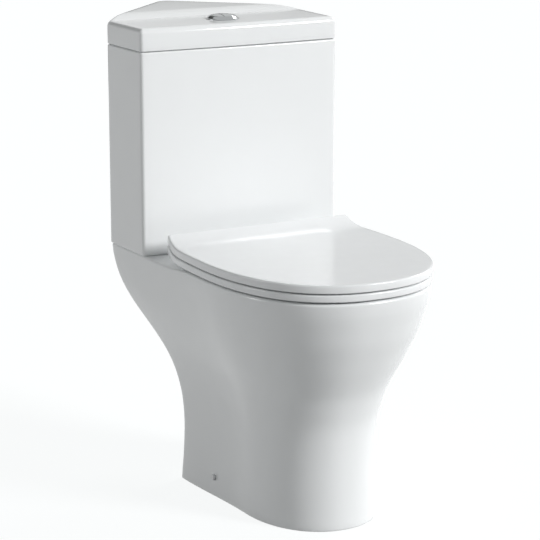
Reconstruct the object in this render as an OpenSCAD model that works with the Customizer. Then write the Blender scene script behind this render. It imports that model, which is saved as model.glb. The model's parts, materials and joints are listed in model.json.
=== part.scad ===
// Corner toilet: a floor-standing pan, a five-sided cistern for a room's corner, and a slim seat.
// Millimetres. +Z is up, the tip of the seat points to -Y and the room's corner lies at +Y.
// Inside the modules y = 0 is the plane of the cistern's front; place() moves it into the part's frame.

/* [Cistern] */
// Width of the cistern's front face
cistern_width = 368; // [350:1:390]
// Depth of each straight side, from the front face to the angled back
side_depth = 126.2; // [110:0.2:150]
// Outward slant of each side, in degrees
side_splay = 1.1; // [0:0.1:3]
// How far the front face bows forwards at its middle
front_bow = 5.1; // [0:0.1:10]
// Height of the tank without its lid
tank_height = 341; // [320:1:380]
// Thickness of the tank's walls
tank_wall = 10; // [8:0.5:13]
// Thickness of the tank's floor
tank_floor = 12; // [9:0.5:16]
// Radius of the vertical front edges
front_edge_r = 6; // [3:0.5:10]
// Radius of the vertical edges between the sides and the angled back
side_edge_r = 10; // [5:0.5:16]
// Radius of the vertical edge in the room's corner
back_edge_r = 28; // [16:1:40]

/* [Cistern lid] */
// Height of the lid at its front
lid_height = 38.8; // [32:0.2:46]
// Rise from the front of the lid to the raised back
lid_step = 7; // [0:0.5:10]
// Length of the slope between the two levels
lid_step_run = 40; // [25:1:55]
// Radius of the lid's upper edge
lid_edge_r = 8; // [4:0.5:10]
// Thickness of the lid's top
lid_plate = 11; // [9:0.5:14]
// Depth of the rib that keeps the lid on the tank
lid_rib_depth = 8; // [5:0.5:12]
// Thickness of that rib
lid_rib = 8; // [6:0.5:12]
// Gap between that rib and the inside of the tank
lid_rib_gap = 2; // [1:0.5:4]

/* [Pan] */
// Height of the rim above the floor
rim_height = 400; // [385:1:415]
// Drop from the rim to the deck that carries the cistern
deck_drop = 4; // [1:0.5:6]
// Width of the pan at its rim
rim_width = 356.6; // [345:0.2:366]
// From the cistern's front to the tip of the rim
rim_reach = 456; // [446:1:466]
// Width of the pedestal's rounded front
pedestal_width = 218; // [205:1:230]
// From the cistern's front to the tip of the pedestal
pedestal_reach = 361; // [345:1:375]
// Width of the pedestal at its back edge
foot_width = 236; // [224:1:246]
// From the cistern's front forwards to the back edge of the pedestal
foot_back = 8; // [0:1:30]
// How far the shelf stays inside the cistern's outline
shelf_inset = 1.6; // [0.5:0.1:4]
// Thickness of the pan's outer wall
pan_wall = 13; // [10:0.5:16]
// Thickness of the deck
deck_plate = 18; // [15:0.5:24]
// Radius of the pan's upper edge
pan_edge_r = 5; // [3:0.5:7]

/* [Bowl and trap] */
// Width of the bowl's opening
bowl_width = 260; // [245:1:275]
// Length of the bowl's opening
bowl_length = 284; // [270:1:300]
// From the cistern's front to the back of the bowl's opening
bowl_back = 135; // [128:1:145]
// Thickness of the bowl's wall
bowl_wall = 11; // [9:0.5:13]
// Height of the sump's floor above the ground
sump_floor = 71; // [64:1:80]
// Height of the waste outlet's centre above the ground
outlet_height = 180; // [175:1:190]
// Outer diameter of the waste outlet
outlet_od = 102; // [98:1:110]
// Length of the outlet behind the trap's last bend
outlet_length = 48; // [40:1:60]
// Bore of the trap
trap_bore = 76; // [70:1:78]
// Thickness of the trap's wall
trap_wall = 7; // [6:0.5:9]
// Bend radius of the trap along its centre line
trap_bend_r = 55; // [54:1:60]

/* [Seat] */
// Width of the seat
seat_width = 360.2; // [352:0.2:368]
// From the cistern's front to the tip of the seat
seat_reach = 458.2; // [450:0.2:468]
// Gap between the cistern's front and the back edge of the seat's lid
seat_back_gap = 60; // [58:1:64]
// How far the ring reaches behind the lid
ring_back_extra = 6; // [2:1:6]
// Thickness of the seat ring
ring_thickness = 11.6; // [10:0.2:14]
// Thickness of the seat's lid at its front edge
seat_lid_thickness = 13.3; // [11:0.1:16]
// Gap between the rim and the ring, which the buffers fill
ring_gap = 3.2; // [2:0.1:5]
// Gap between the ring and the lid, which the lid's buffers fill
lid_gap = 2.4; // [1.5:0.1:4]
// Width of the ring's opening
ring_hole_width = 226; // [210:2:240]
// Length of the ring's opening
ring_hole_length = 262; // [240:2:275]
// Rise of the ring's underside at its back edge
ring_sweep = 8; // [4:0.5:9]
// Rise of the gap between ring and lid at the back corners
gap_sweep = 12; // [8:0.5:12]
// Rise of the lid's top towards its back edge
lid_sweep = 14; // [9:0.5:16]

/* [Seat hinge] */
// Distance between the two seat fixings
hinge_spacing = 155; // [146:1:162]
// Height of the hinge axis above the deck
hinge_rise = 11; // [10.5:0.5:13]
// Diameter of the hinge pins
hinge_pin_d = 6; // [5:0.5:7]
// Outer diameter of the hinge knuckles
knuckle_d = 17; // [16:0.5:19]
// Diameter of the soft-close dampers
damper_d = 12; // [11:0.5:13]
// Length of each damper
damper_length = 30; // [24:1:34]
// Width of the hinge posts
post_width = 16; // [14:1:18]
// Diameter of the discs under the posts
post_disc_d = 44; // [38:1:48]
// Diameter of the seat's fixing bolts
seat_bolt_d = 8; // [6:0.5:10]

/* [Flush] */
// From the cistern's front to the centre of the flush button and valve
flush_y = 65; // [60:1:72]
// Diameter of the button's bezel
bezel_d = 57; // [52:1:60]
// Outer diameter of the bezel's threaded neck
bezel_neck_d = 44; // [42:1:46]
// Diameter of the pair of buttons
button_d = 39.2; // [36:0.2:40]
// Travel of each button
button_travel = 6; // [4:0.5:8]
// Lift of the flush valve's seal at full travel
valve_lift = 15; // [12:0.5:18]
// Diameter of the push rods
rod_d = 6; // [5:0.5:7]
// Distance from the valve's axis to each push rod
rod_offset = 11; // [9:0.5:12]
// Diameter of the flush valve's threaded outlet
valve_thread_d = 59.6; // [56:0.2:62]
// Height of the flush valve's tower above the tank's floor
tower_height = 282; // [260:1:286]
// Height of the overflow pipe above the tank's floor
overflow_height = 276; // [250:1:282]
// Diameter of the overflow pipe
overflow_d = 22; // [20:1:24]

/* [Fill valve] */
// From the cistern's side to the fill valve
fill_from_side = 62; // [58:1:68]
// From the cistern's front to the fill valve
fill_y = 55; // [52:1:60]
// Diameter of the inlet's thread
inlet_d = 20.9; // [20:0.1:22]
// Width of the groove that ends the inlet's free thread below its nut
inlet_relief = 2; // [1:0.5:3]
// Height of the float arm's pivot above the tank's floor
arm_height = 252; // [240:1:262]
// Distance from the pivot to the centre of the float
arm_reach = 48; // [46:1:52]
// How far the float's arm hangs below level when the tank is empty, in degrees
arm_drop = 20; // [10:1:30]
// Diameter of the float
float_d = 42; // [36:1:44]
// Height of the float
float_height = 55; // [45:1:60]

/* [Fixings] */
// Distance between the two bolts that hold the cistern down
coupling_spacing = 150; // [146:1:160]
// Diameter of those bolts
coupling_d = 8; // [6:0.5:10]
// Height of the side fixing screws above the floor
side_fix_height = 34; // [28:1:40]
// From the cistern's front forwards to the side fixing screws
side_fix_y = 116; // [100:1:130]
// Diameter of the caps over those screws
cap_d = 11; // [9:0.5:14]
// Diameter of the side fixing screws
side_screw_d = 5; // [4:0.5:6]
// Diameter of the floor screw holes in the brackets
floor_hole_d = 6.5; // [5:0.5:8]

/* [Hidden] */
$fn = 64;

// Clearances: between parts that turn or slide on each other, and between parts at rest that may lift
run_gap = 0.05;
rest_gap = 0.2;
// Overlap of shapes that are joined into one solid, or cut from it
eps = 1;

// Levels
deck = rim_height - deck_drop;
tank_inside = deck + tank_floor;
tank_top = deck + tank_height;
lid_low = tank_top + lid_height;
lid_top = lid_low + lid_step;
lid_inside = lid_low - lid_plate;
ring_bottom = rim_height + ring_gap;
ring_top = ring_bottom + ring_thickness;
seat_lid_bottom = ring_top + lid_gap;
seat_lid_top = seat_lid_bottom + seat_lid_thickness;
deck_under = deck - deck_plate;

// Plan of the cistern
half_front = cistern_width / 2;
splay = tan(side_splay);
corner_x = half_front + side_depth * splay;
apex_y = side_depth + corner_x;
cistern_back = apex_y - back_edge_r * (sqrt(2) - 1);
crease_y = side_depth - side_edge_r * tan((45 + side_splay) / 2) * cos(side_splay);

// The part's frame is centred between the tip of the seat and the room's corner
frame_y = (seat_reach - cistern_back) / 2;
module place() {
    translate([0, frame_y, 0]) children();
}

// Points and curves ------------------------------------------------------------------------------
function lerp(a, b, t) = a + (b - a) * t;
function clamp01(t) = min(1, max(0, t));
function ease(t) = let(u = clamp01(t)) u * u * (3 - 2 * u);
function unit(v) = v / norm(v);
function at_z(points, z) = [for (p = points) [p[0], p[1], z]];

// The arc that rounds corner b between a and c, walked counter-clockwise in n steps
function fillet(a, b, c, r, n) =
    let(
        u = unit(a - b),
        v = unit(c - b),
        half = acos(u * v) / 2,
        centre = b + unit(u + v) * r / sin(half),
        start = b + u * r / tan(half) - centre,
        from = atan2(start[1], start[0]),
        turn = 180 - 2 * half
    )
    [for (k = [0:n]) centre + r * [cos(from + turn * k / n), sin(from + turn * k / n)]];

// A symmetric outline from its right half, which starts and ends on the centre line
function mirrored(right) =
    concat(right, [for (k = [len(right) - 2:-1:1]) [-right[k][0], right[k][1]]]);

// Smooth curve through rows of [height, value, value], read at a height
function row_slope(rows, k, col) =
    let(a = max(0, k - 1), b = min(len(rows) - 1, k + 1))
    (rows[b][col] - rows[a][col]) / (rows[b][0] - rows[a][0]);
function row_index(rows, z, k = 0) =
    k >= len(rows) - 2 || z < rows[k + 1][0] ? k : row_index(rows, z, k + 1);
function curve(rows, col, z) =
    let(
        k = row_index(rows, z),
        h = rows[k + 1][0] - rows[k][0],
        t = clamp01((z - rows[k][0]) / h),
        t2 = t * t,
        t3 = t2 * t
    )
    (2 * t3 - 3 * t2 + 1) * rows[k][col] + (t3 - 2 * t2 + t) * h * row_slope(rows, k, col)
    + (3 * t2 - 2 * t3) * rows[k + 1][col] + (t3 - t2) * h * row_slope(rows, k + 1, col);

// A closed skin over rings of points. Each ring is counter-clockwise from above while the skin climbs.
// An open stack is closed by a fan to a point at each end; a looped one joins its last ring to its first.
module skin(rings, first = undef, last = undef) {
    n = len(rings[0]);
    m = len(rings);
    looped = is_undef(first);
    points = concat([for (r = rings) each r], looped ? [] : [first, last]);
    walls = [
        for (i = [0:m - (looped ? 1 : 2)], j = [0:n - 1])
            let(a = i * n, b = ((i + 1) % m) * n, k = (j + 1) % n)
            each [[a + j, b + k, a + k], [a + j, b + j, b + k]]
    ];
    ends = looped ? [] : [
        for (j = [0:n - 1])
            let(k = (j + 1) % n, top = (m - 1) * n)
            each [[m * n, j, k], [top + j, m * n + 1, top + k]]
    ];
    polyhedron(points, concat(walls, ends), convexity = 10);
}

// Cistern plan --------------------------------------------------------------------------------
// Right half of the five-sided plan, moved inwards by inset
function plate_corners(inset) =
    let(
        side = half_front - inset / cos(side_splay),
        far = apex_y - inset * sqrt(2),
        y = (far - side) / (1 + splay)
    )
    [[side + inset * splay, inset], [far - y, y], [0, far]];
function home_plate(inset, smallest = 1) =
    let(
        c = plate_corners(inset),
        bow_at = function(x) inset - front_bow * (1 - pow(x / c[0][0], 2)),
        before = [c[0][0] - 1, bow_at(c[0][0] - 1)],
        steps = 4
    )
    mirrored(concat(
        [for (k = [0:steps - 1]) let(x = c[0][0] * k / steps) [x, bow_at(x)]],
        fillet(before, c[0], c[1], max(front_edge_r - inset, smallest), 4),
        fillet(c[0], c[1], c[2], max(side_edge_r - inset, smallest), 4),
        [for (k = [0:4]) fillet(c[1], c[2], [-c[1][0], c[1][1]], max(back_edge_r - inset, smallest), 8)[k]]
    ));

// Pan plan ------------------------------------------------------------------------------------
// How far the pan has widened from pedestal to shelf (second value) and to rim (third value),
// at each height above the floor for a deck at the height of the last row
pan_rows = [
    [0, 0.04, 0], [60, 0.006, -0.013], [110, -0.002, -0.024], [150, 0.025, -0.008],
    [175, 0.068, 0.03], [200, 0.135, 0.115], [225, 0.237, 0.215], [250, 0.375, 0.365],
    [275, 0.537, 0.52], [300, 0.698, 0.655], [325, 0.831, 0.782], [350, 0.922, 0.872],
    [375, 0.977, 0.955], [396, 1, 1]
];
row_scale = deck / pan_rows[len(pan_rows) - 1][0];
shelf = plate_corners(shelf_inset);
// From the cistern's front to the widest place of the rounded front, at the rim and at the foot
rim_shoulder = 200;
foot_shoulder = 215;
// Fullness of that rounded front: 2 is an ellipse, more is squarer
rim_fullness = 2.37;
foot_fullness = 2.15;
foot_corner_r = 7;
nose_steps = 14;
side_steps = 8;

// A quarter of a rounded front: from the centre line to the widest place
function nose(half_width, reach, shoulder, fullness, steps) = [
    for (k = [0:steps - 1])
        let(t = 90 * k / steps)
        [half_width * pow(sin(t), 2 / fullness), -shoulder - (reach - shoulder) * pow(cos(t), 2 / fullness)]
];

function pan_outline(z, inset, back_inset = undef) =
    let(
        h = z / row_scale,
        back = curve(pan_rows, 1, h),
        front = curve(pan_rows, 2, h),
        half_width = lerp(pedestal_width, rim_width, front) / 2 - inset,
        reach = lerp(pedestal_reach, rim_reach, front) - inset,
        shoulder = lerp(foot_shoulder, rim_shoulder, front),
        fullness = lerp(foot_fullness, rim_fullness, front),
        corner_inset = [inset, is_undef(back_inset) ? inset * (sqrt(2) - 1) : back_inset],
        corner = [lerp(foot_width / 2, shelf[1][0], back), lerp(-foot_back, shelf[1][1], back)] - corner_inset,
        point_y = corner[1] + corner[0] * pow(max(back, 0.004), 0.8),
        side = function(t) [lerp(half_width, corner[0], ease(t)), lerp(-shoulder, corner[1], t)]
    )
    mirrored(concat(
        nose(half_width, reach, shoulder, fullness, nose_steps),
        [for (k = [0:side_steps - 1]) side(k / side_steps)],
        fillet(side(0.97), corner, [0, point_y], lerp(foot_corner_r, side_edge_r, clamp01(back)), 3),
        [for (t = [0.25, 0.42, 0.6]) lerp(corner, [0, point_y], t)],
        [for (k = [0:3]) fillet(corner, [0, point_y], [-corner[0], corner[1]], back_edge_r, 6)[k]]
    ));

// Height of the pan's top: the deck behind, the rim in front, with a slope under the seat's back
slope_back = 88;
slope_front = 150;
function pan_top(y) = rim_height - deck_drop * ease((y + slope_front) / (slope_front - slope_back));

// Directions from the bowl's centre to the points of the pan's upper outline
bowl_mid = bowl_back + bowl_length / 2;
ray_mid = 250;
rays = [for (p = pan_outline(deck, 0)) unit([p[0], p[1] + ray_mid])];

// Bowl: rows of [height below the rim, share of the opening's width, share of its length, shift of its
// middle towards the back]
bowl_rows = [
    [0, 1, 1, 0], [28, 0.955, 0.965, 1], [50, 0.92, 0.935, 3], [80, 0.87, 0.9, 7],
    [140, 0.71, 0.76, 20], [200, 0.53, 0.59, 37], [250, 0.4, 0.43, 53], [285, 0.345, 0.345, 60],
    [310, 0.28, 0.27, 62], [323, 0.15, 0.14, 63]
];
bowl_scale = (rim_height - sump_floor) / 329;
function bowl_point(j, depth, grow) =
    let(
        h = depth / bowl_scale,
        ax = bowl_width / 2 * curve(bowl_rows, 1, h) + grow,
        ay = bowl_length / 2 * curve(bowl_rows, 2, h) + grow,
        mid = -bowl_mid + curve(bowl_rows, 3, h)
    )
    [ax * rays[j][0], mid + ay * rays[j][1]];
function bowl_ring(depth, grow) =
    [for (j = [0:len(rays) - 1]) concat(bowl_point(j, depth, grow), rim_height - depth)];
bowl_low = [0, -bowl_mid + bowl_rows[len(bowl_rows) - 1][3]];

// The hollow under the deck ends higher behind the bowl than beside it
hollow_front = 322;
function hollow_top(j) =
    lerp(deck_under, hollow_front * row_scale, ease((acos(rays[j][1]) - 36) / 22));
// Inside of the outer wall at a share of the hollow's height; the sloping back needs a deeper inset
wall_back = pan_wall * 1.25;
function hollow_ring(share) = [
    for (j = [0:len(rays) - 1])
        let(z = share * hollow_top(j), p = pan_outline(z, pan_wall, wall_back)[j])
        [p[0], p[1], z]
];

// The deck stays level as far as the slope; between there and the bowl it rises to the rim
function deck_ring(share) =
    let(edge = pan_outline(deck, pan_edge_r))
    [for (j = [0:len(edge) - 1])
        let(
            p = edge[j],
            q = bowl_point(j, 0, lip_r),
            level = p[1] > -slope_back ? (p[1] + slope_back) / (p[1] - q[1]) : 0.1,
            s = lerp(p, q, lerp(level, 1, share))
        )
        [s[0], s[1], pan_top(s[1])]];

outer_levels = [30, 60, 110, 150, 175, 200, 225, 250, 275, 300, 325, 350, 372];
basin_depths = [285, 250, 200, 140, 95];
lip_r = 4;

function pan_rings() = concat(
    // Underside of the bowl, from its lowest point out to the roof of the hollow
    [at_z(bowl_ring(310 * bowl_scale, bowl_wall), sump_floor - bowl_wall)],
    [for (d = basin_depths) bowl_ring(d * bowl_scale, bowl_wall)],
    [[for (j = [0:len(rays) - 1])
        let(z = hollow_top(j)) concat(bowl_point(j, rim_height - z, bowl_wall), z)]],
    // Inside of the outer wall, down to the floor
    [for (share = [1, 0.93, 0.86, 0.78, 0.7, 0.6, 0.5, 0.4, 0.28, 0.14, 0]) hollow_ring(share)],
    // Outside, up to the rim
    [at_z(pan_outline(0, 3), 0), at_z(pan_outline(1, 0.8), 1), at_z(pan_outline(5, 0), 4)],
    [for (z = outer_levels) at_z(pan_outline(z * row_scale, 0), z * row_scale)],
    [for (a = [0, 45, 90])
        [for (p = pan_outline(deck - pan_edge_r * (1 - sin(a)), pan_edge_r * (1 - cos(a))))
            [p[0], p[1], pan_top(p[1]) - pan_edge_r * (1 - sin(a))]]],
    // Over the edge and down into the bowl
    [for (share = [0, 0.5]) deck_ring(share)],
    [for (a = [90, 45, 0])
        [for (j = [0:len(rays) - 1])
            let(p = bowl_point(j, 0, lip_r * (1 - cos(a))))
            [p[0], p[1], pan_top(p[1]) - lip_r * (1 - sin(a))]]],
    [for (r = bowl_rows) if (r[0] > 0) bowl_ring(r[0] * bowl_scale, 0)]
);

// Trap: a tube that leaves the sump, climbs over the weir and falls to the outlet.
// Its centre line is a list of [y, z, heading above +Y]
trap_start_y = -162;
trap_climb = 75;
trap_fall = 60;
trap_rise = 46;
function arc(from, turn, steps) =
    let(h = from[2], s = sign(turn) * trap_bend_r)
    [for (k = [1:steps])
        let(a = h + turn * k / steps)
        [from[0] + s * (sin(a) - sin(h)), from[1] + s * (cos(h) - cos(a)), a]];
function last_of(list) = list[len(list) - 1];
trap_up = arc([0, 0, 0], trap_climb, 8);
trap_climbed = last_of(trap_up) + [trap_rise / tan(trap_climb), trap_rise, 0];
trap_over = arc(trap_climbed, -trap_climb - trap_fall, 14);
trap_down = arc(last_of(trap_over), trap_fall, 6);
trap_start_z = outlet_height - last_of(trap_down)[1];
trap_line = [
    for (p = concat([[0, 0, 0]], trap_up, [trap_climbed], trap_over, trap_down))
        p + [trap_start_y, trap_start_z, 0]
];
outlet_start = last_of(trap_line)[0];
outlet_end = outlet_start + outlet_length;
// Circle across the centre line. Its lower part may reach forwards, to meet the wall of the sump
function trap_ring(p, r, reach = 0) = [
    for (k = [0:31])
        let(a = 360 * k / 32, up = r * sin(a), shift = -reach * (1 - pow(max(sin(a), 0), 2)))
        [-r * cos(a), p[0] - up * sin(p[2]) + shift, p[1] + up * cos(p[2])]
];
module trap(r, from_y, to_y, reach) {
    line = concat(
        from_y < trap_start_y ? [[from_y, trap_start_z, 0]] : [],
        trap_line,
        [[to_y, outlet_height, 0]]
    );
    skin(
        [for (k = [0:len(line) - 1]) trap_ring(line[k], r, k == 0 ? reach : 0)],
        [0, from_y, trap_start_z],
        [0, to_y, outlet_height]
    );
}

// Flush entry: a recess for the doughnut washer, a throat and a duct to the bowl
recess_r = 47;
recess_depth = 30;
throat_r = 26;
duct_r = 19;
duct_wall = 8;
duct_z = deck - recess_depth - duct_r - 2;
boss_wall = 8;

// Holes in the deck and the tank's floor
coupling_hole_r = coupling_d / 2 + 1.5;
seat_hole_r = seat_bolt_d / 2 + 3;
inlet_clearance_r = 23;
arch_half_width = 84;
arch_height = 290;
mouth_reach = 25;

// Opening in the back of the pedestal for the waste pipe
module arch() {
    spring = arch_height - arch_half_width;
    translate([0, apex_y + 40, 0])
        rotate([90, 0, 0])
            linear_extrude(apex_y + 100)
                polygon(concat(
                    [[-arch_half_width, -eps], [arch_half_width, -eps]],
                    [for (a = [0:15:180]) [arch_half_width * cos(a), spring + arch_half_width * sin(a)]]
                ));
}
module across(x, r, length) {
    translate([x, 0, 0]) rotate([0, 90, 0]) cylinder(h = length, r = r);
}

module pan() {
    rings = pan_rings();
    color("white")
        place()
            difference() {
                union() {
                    difference() {
                        skin(
                            rings,
                            [bowl_low[0], bowl_low[1], sump_floor - bowl_wall],
                            [bowl_low[0], bowl_low[1], sump_floor]
                        );
                        arch();
                    }
                    trap(trap_bore / 2 + trap_wall, trap_start_y, outlet_start + 10, mouth_reach);
                    translate([0, outlet_start, outlet_height])
                        rotate([-90, 0, 0])
                            cylinder(h = outlet_length, r = outlet_od / 2);
                    // Duct and recess under the deck
                    translate([0, -bowl_back + 2, duct_z])
                        rotate([-90, 0, 0])
                            cylinder(h = flush_y + bowl_back - 2, r = duct_r + duct_wall);
                    translate([0, flush_y, duct_z - duct_r - duct_wall])
                        cylinder(h = deck_under + eps - duct_z + duct_r + duct_wall, r = recess_r + boss_wall);
                }
                trap(trap_bore / 2, trap_start_y - 50, outlet_end + eps, 0);
                translate([0, -bowl_back - 16, duct_z])
                    rotate([-90, 0, 0])
                        cylinder(h = flush_y + bowl_back + 16, r = duct_r);
                translate([0, flush_y, duct_z])
                    cylinder(h = deck - duct_z, r = throat_r);
                translate([0, flush_y, deck - recess_depth])
                    cylinder(h = recess_depth + eps, r = recess_r);
                for (s = [-1, 1]) {
                    translate([s * coupling_spacing / 2, flush_y, deck_under - eps])
                        cylinder(h = deck_plate + 2 * eps, r = coupling_hole_r);
                    translate([s * hinge_spacing / 2, -hinge_y, deck_under - eps])
                        cylinder(h = deck_plate + 2 * eps, r = seat_hole_r);
                    translate([s * (fix_x - pan_wall - 12), -side_fix_y, side_fix_height])
                        rotate([0, s * 90, 0])
                            cylinder(h = pan_wall + 30, r = side_screw_d / 2 + 1);
                }
                translate([fill_x, fill_y, deck_under - eps])
                    cylinder(h = deck_plate + 2 * eps, r = inlet_clearance_r);
            }
}

// Cistern -------------------------------------------------------------------------------------
tank_foot_r = 3;
tank_rim_r = 2;
tank_cove = 8;
valve_hole_r = valve_thread_d / 2 + 1.2;
inlet_hole_r = inlet_d / 2 + 1;
plan_mid = [0, crease_y];

module cistern() {
    rings = [
        at_z(home_plate(tank_foot_r), deck),
        at_z(home_plate(tank_foot_r * 0.3), deck + tank_foot_r * 0.3),
        at_z(home_plate(0), deck + tank_foot_r),
        at_z(home_plate(0), tank_top - tank_rim_r),
        at_z(home_plate(tank_rim_r * 0.3), tank_top - tank_rim_r * 0.3),
        at_z(home_plate(tank_rim_r), tank_top),
        at_z(home_plate(tank_wall - 1), tank_top),
        at_z(home_plate(tank_wall, 4), tank_top - 1),
        at_z(home_plate(tank_wall, 4), tank_inside + tank_cove),
        at_z(home_plate(tank_wall + tank_cove * 0.3, 4), tank_inside + tank_cove * 0.3),
        at_z(home_plate(tank_wall + tank_cove, 4), tank_inside)
    ];
    color("white")
        place()
            difference() {
                skin(rings, concat(plan_mid, deck), concat(plan_mid, tank_inside));
                translate([0, flush_y, deck - eps])
                    cylinder(h = tank_floor + 2 * eps, r = valve_hole_r);
                for (s = [-1, 1])
                    translate([s * coupling_spacing / 2, flush_y, deck - eps])
                        cylinder(h = tank_floor + 2 * eps, r = coupling_hole_r);
                translate([fill_x, fill_y, deck - eps])
                    cylinder(h = tank_floor + 2 * eps, r = inlet_hole_r);
            }
}

function lid_level(y) =
    let(t = clamp01((y - crease_y) / lid_step_run))
    lid_low + lid_step * (1 - pow(1 - t, 2));
function lid_edge(inset, drop) = [for (p = home_plate(inset)) [p[0], p[1], lid_level(p[1]) - drop]];
function lid_face(share) = [
    for (p = home_plate(lid_edge_r))
        let(q = plan_mid + share * (p - plan_mid))
        [q[0], q[1], lid_level(q[1])]
];
bezel_hole_r = bezel_neck_d / 2 + 1;

module cistern_lid() {
    rib_out = tank_wall + lid_rib_gap;
    rib_in = rib_out + lid_rib;
    rings = concat(
        [
            at_z(home_plate(rib_in + 8, 4), lid_inside),
            at_z(home_plate(rib_in + 2, 4), lid_inside - 3),
            at_z(home_plate(rib_in, 4), lid_inside - 9),
            at_z(home_plate(rib_in, 4), tank_top - lid_rib_depth),
            at_z(home_plate(rib_out, 3), tank_top - lid_rib_depth),
            at_z(home_plate(rib_out, 3), tank_top),
            at_z(home_plate(1.5), tank_top),
            at_z(home_plate(0), tank_top + 1.5)
        ],
        [for (a = [0, 22.5, 45, 67.5, 90]) lid_edge(lid_edge_r * (1 - cos(a)), lid_edge_r * (1 - sin(a)))],
        [for (share = [0.92, 0.84, 0.72, 0.58, 0.42, 0.25]) lid_face(share)]
    );
    color("white")
        place()
            difference() {
                skin(rings, concat(plan_mid, lid_inside), concat(plan_mid, lid_level(crease_y)));
                translate([0, flush_y, lid_inside - eps])
                    cylinder(h = lid_plate + lid_step + 2 * eps, r = bezel_hole_r);
            }
}

// Seat ----------------------------------------------------------------------------------------
seat_shoulder = 200;
seat_fullness = 2.37;
seat_narrowing = 11.3;
seat_corner_r = 4;
sweep_start = 125;
sweep_end = 64;
seat_nose_steps = 14;

function seat_outline(inset, back_gap) =
    let(
        half_width = seat_width / 2 - inset,
        back = -back_gap - inset,
        side = function(y) half_width - seat_narrowing * pow((y + seat_shoulder) / (seat_shoulder - back_gap), 2.5),
        corner = [side(back), back],
        before = [side(back - 12), back - 12]
    )
    mirrored(concat(
        nose(half_width, seat_reach - inset, seat_shoulder, seat_fullness, seat_nose_steps),
        [for (y = [-seat_shoulder, -170, -145, -125, -108, -94, -82]) [side(y), y]],
        fillet(before, corner, [0, back], seat_corner_r, 3),
        [for (share = [0.8, 0.55, 0.28, 0]) [corner[0] * share, back]]
    ));
function sweep(y, power) = pow(clamp01((y + sweep_start) / (sweep_start - sweep_end)), power);
function ring_base(y) = ring_bottom + ring_sweep * sweep(y, 5);
function ring_face(y) = ring_top + gap_sweep * sweep(y, 4);
function lid_base(y) = seat_lid_bottom + (gap_sweep + 1.6) * sweep(y, 4);
function lid_crown(y) = seat_lid_top + lid_sweep * sweep(y, 2.8);
// The lid is hollow underneath, inside a solid margin
lid_margin = 22;
lid_shell = 6.5;
function lid_roof(y) = lid_crown(y) - lid_shell;

// The ring's opening, drawn along the directions from its middle to the ring's outline
ring_hole_back = 142;
ring_hole_mid = ring_hole_back + ring_hole_length / 2;
ring_hole_fullness = 2.2;
function ring_hole(grow, outline) = [
    for (p = outline)
        let(
            d = unit([p[0], p[1] + ring_hole_mid]),
            k = pow(pow(abs(d[0]), ring_hole_fullness) + pow(abs(d[1]), ring_hole_fullness), 1 / ring_hole_fullness)
        )
        [(ring_hole_width / 2 + grow) * d[0] / k, -ring_hole_mid + (ring_hole_length / 2 + grow) * d[1] / k]
];
function between(a, b, t) = [for (j = [0:len(a) - 1]) lerp(a[j], b[j], t)];
function on(points, z_of) = [for (p = points) [p[0], p[1], z_of(p[1])]];

// Hinge, seen from the right: knuckle of the lid, post, knuckle of the ring
hinge_y = 62;
hinge_z = deck + hinge_rise;
hinge_x = hinge_spacing / 2;
knuckle_gap = 0.8;
damper_r = damper_d / 2;
knuckle_r = knuckle_d / 2;
pin_r = hinge_pin_d / 2;
damper_end = 2;
knuckle_length = damper_length + 2 * damper_end + 4;
ring_knuckle_x = hinge_x + post_width / 2 + knuckle_gap;
lid_knuckle_x = hinge_x - post_width / 2 - knuckle_gap - knuckle_length;
notch_front = 12;

module on_hinge(s) {
    translate([0, -hinge_y, hinge_z])
        mirror([s < 0 ? 1 : 0, 0, 0])
            children();
}

module seat_ring() {
    // The back edge is rounder than the rest: tuck moves it forwards towards the faces
    outer = function(inset, tuck) seat_outline(inset, seat_back_gap - ring_back_extra + tuck);
    edge = outer(1, 0);
    hole = ring_hole(0, edge);
    // Close together beside the outline, where the face rises
    face_steps = [0.05, 0.1, 0.16, 0.24, 0.4, 0.65];
    rings = concat(
        [on(outer(3, 5), function(y) ring_base(y)), on(outer(1, 3), function(y) ring_base(y) + 2)],
        [on(outer(1, 0), function(y) (ring_base(y) + ring_face(y)) / 2)],
        [on(outer(1, 2), function(y) ring_face(y) - 3), on(outer(1.9, 3), function(y) ring_face(y) - 0.9)],
        [on(outer(4, 4), function(y) ring_face(y))],
        [for (t = face_steps) on(between(outer(4, 4), ring_hole(5, edge), t), function(y) ring_face(y))],
        [on(ring_hole(5, edge), function(y) ring_face(y)), on(ring_hole(1.5, edge), function(y) ring_face(y) - 1.5)],
        [on(hole, function(y) ring_face(y) - 5), on(hole, function(y) ring_base(y) + 3)],
        [on(ring_hole(3, edge), function(y) ring_base(y))],
        [for (t = [0.35, 0.6, 0.8]) on(between(ring_hole(3, edge), outer(3, 5), t), function(y) ring_base(y))]
    );
    notch_x = lid_knuckle_x - knuckle_gap;
    color("white")
        place() {
            difference() {
                union() {
                    difference() {
                        skin(rings);
                        // Room for the lid's knuckles and the posts
                        for (s = [-1, 1])
                            on_hinge(s)
                                translate([notch_x, -notch_front, -knuckle_d])
                                    cube([ring_knuckle_x - knuckle_gap / 2 - notch_x, 40, 60]);
                    }
                    for (s = [-1, 1])
                        on_hinge(s)
                            across(ring_knuckle_x, knuckle_r, knuckle_length);
                }
                for (s = [-1, 1])
                    on_hinge(s)
                        across(ring_knuckle_x - eps, damper_r + 0.02, knuckle_length - damper_end + eps);
            }
        }
}

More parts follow.
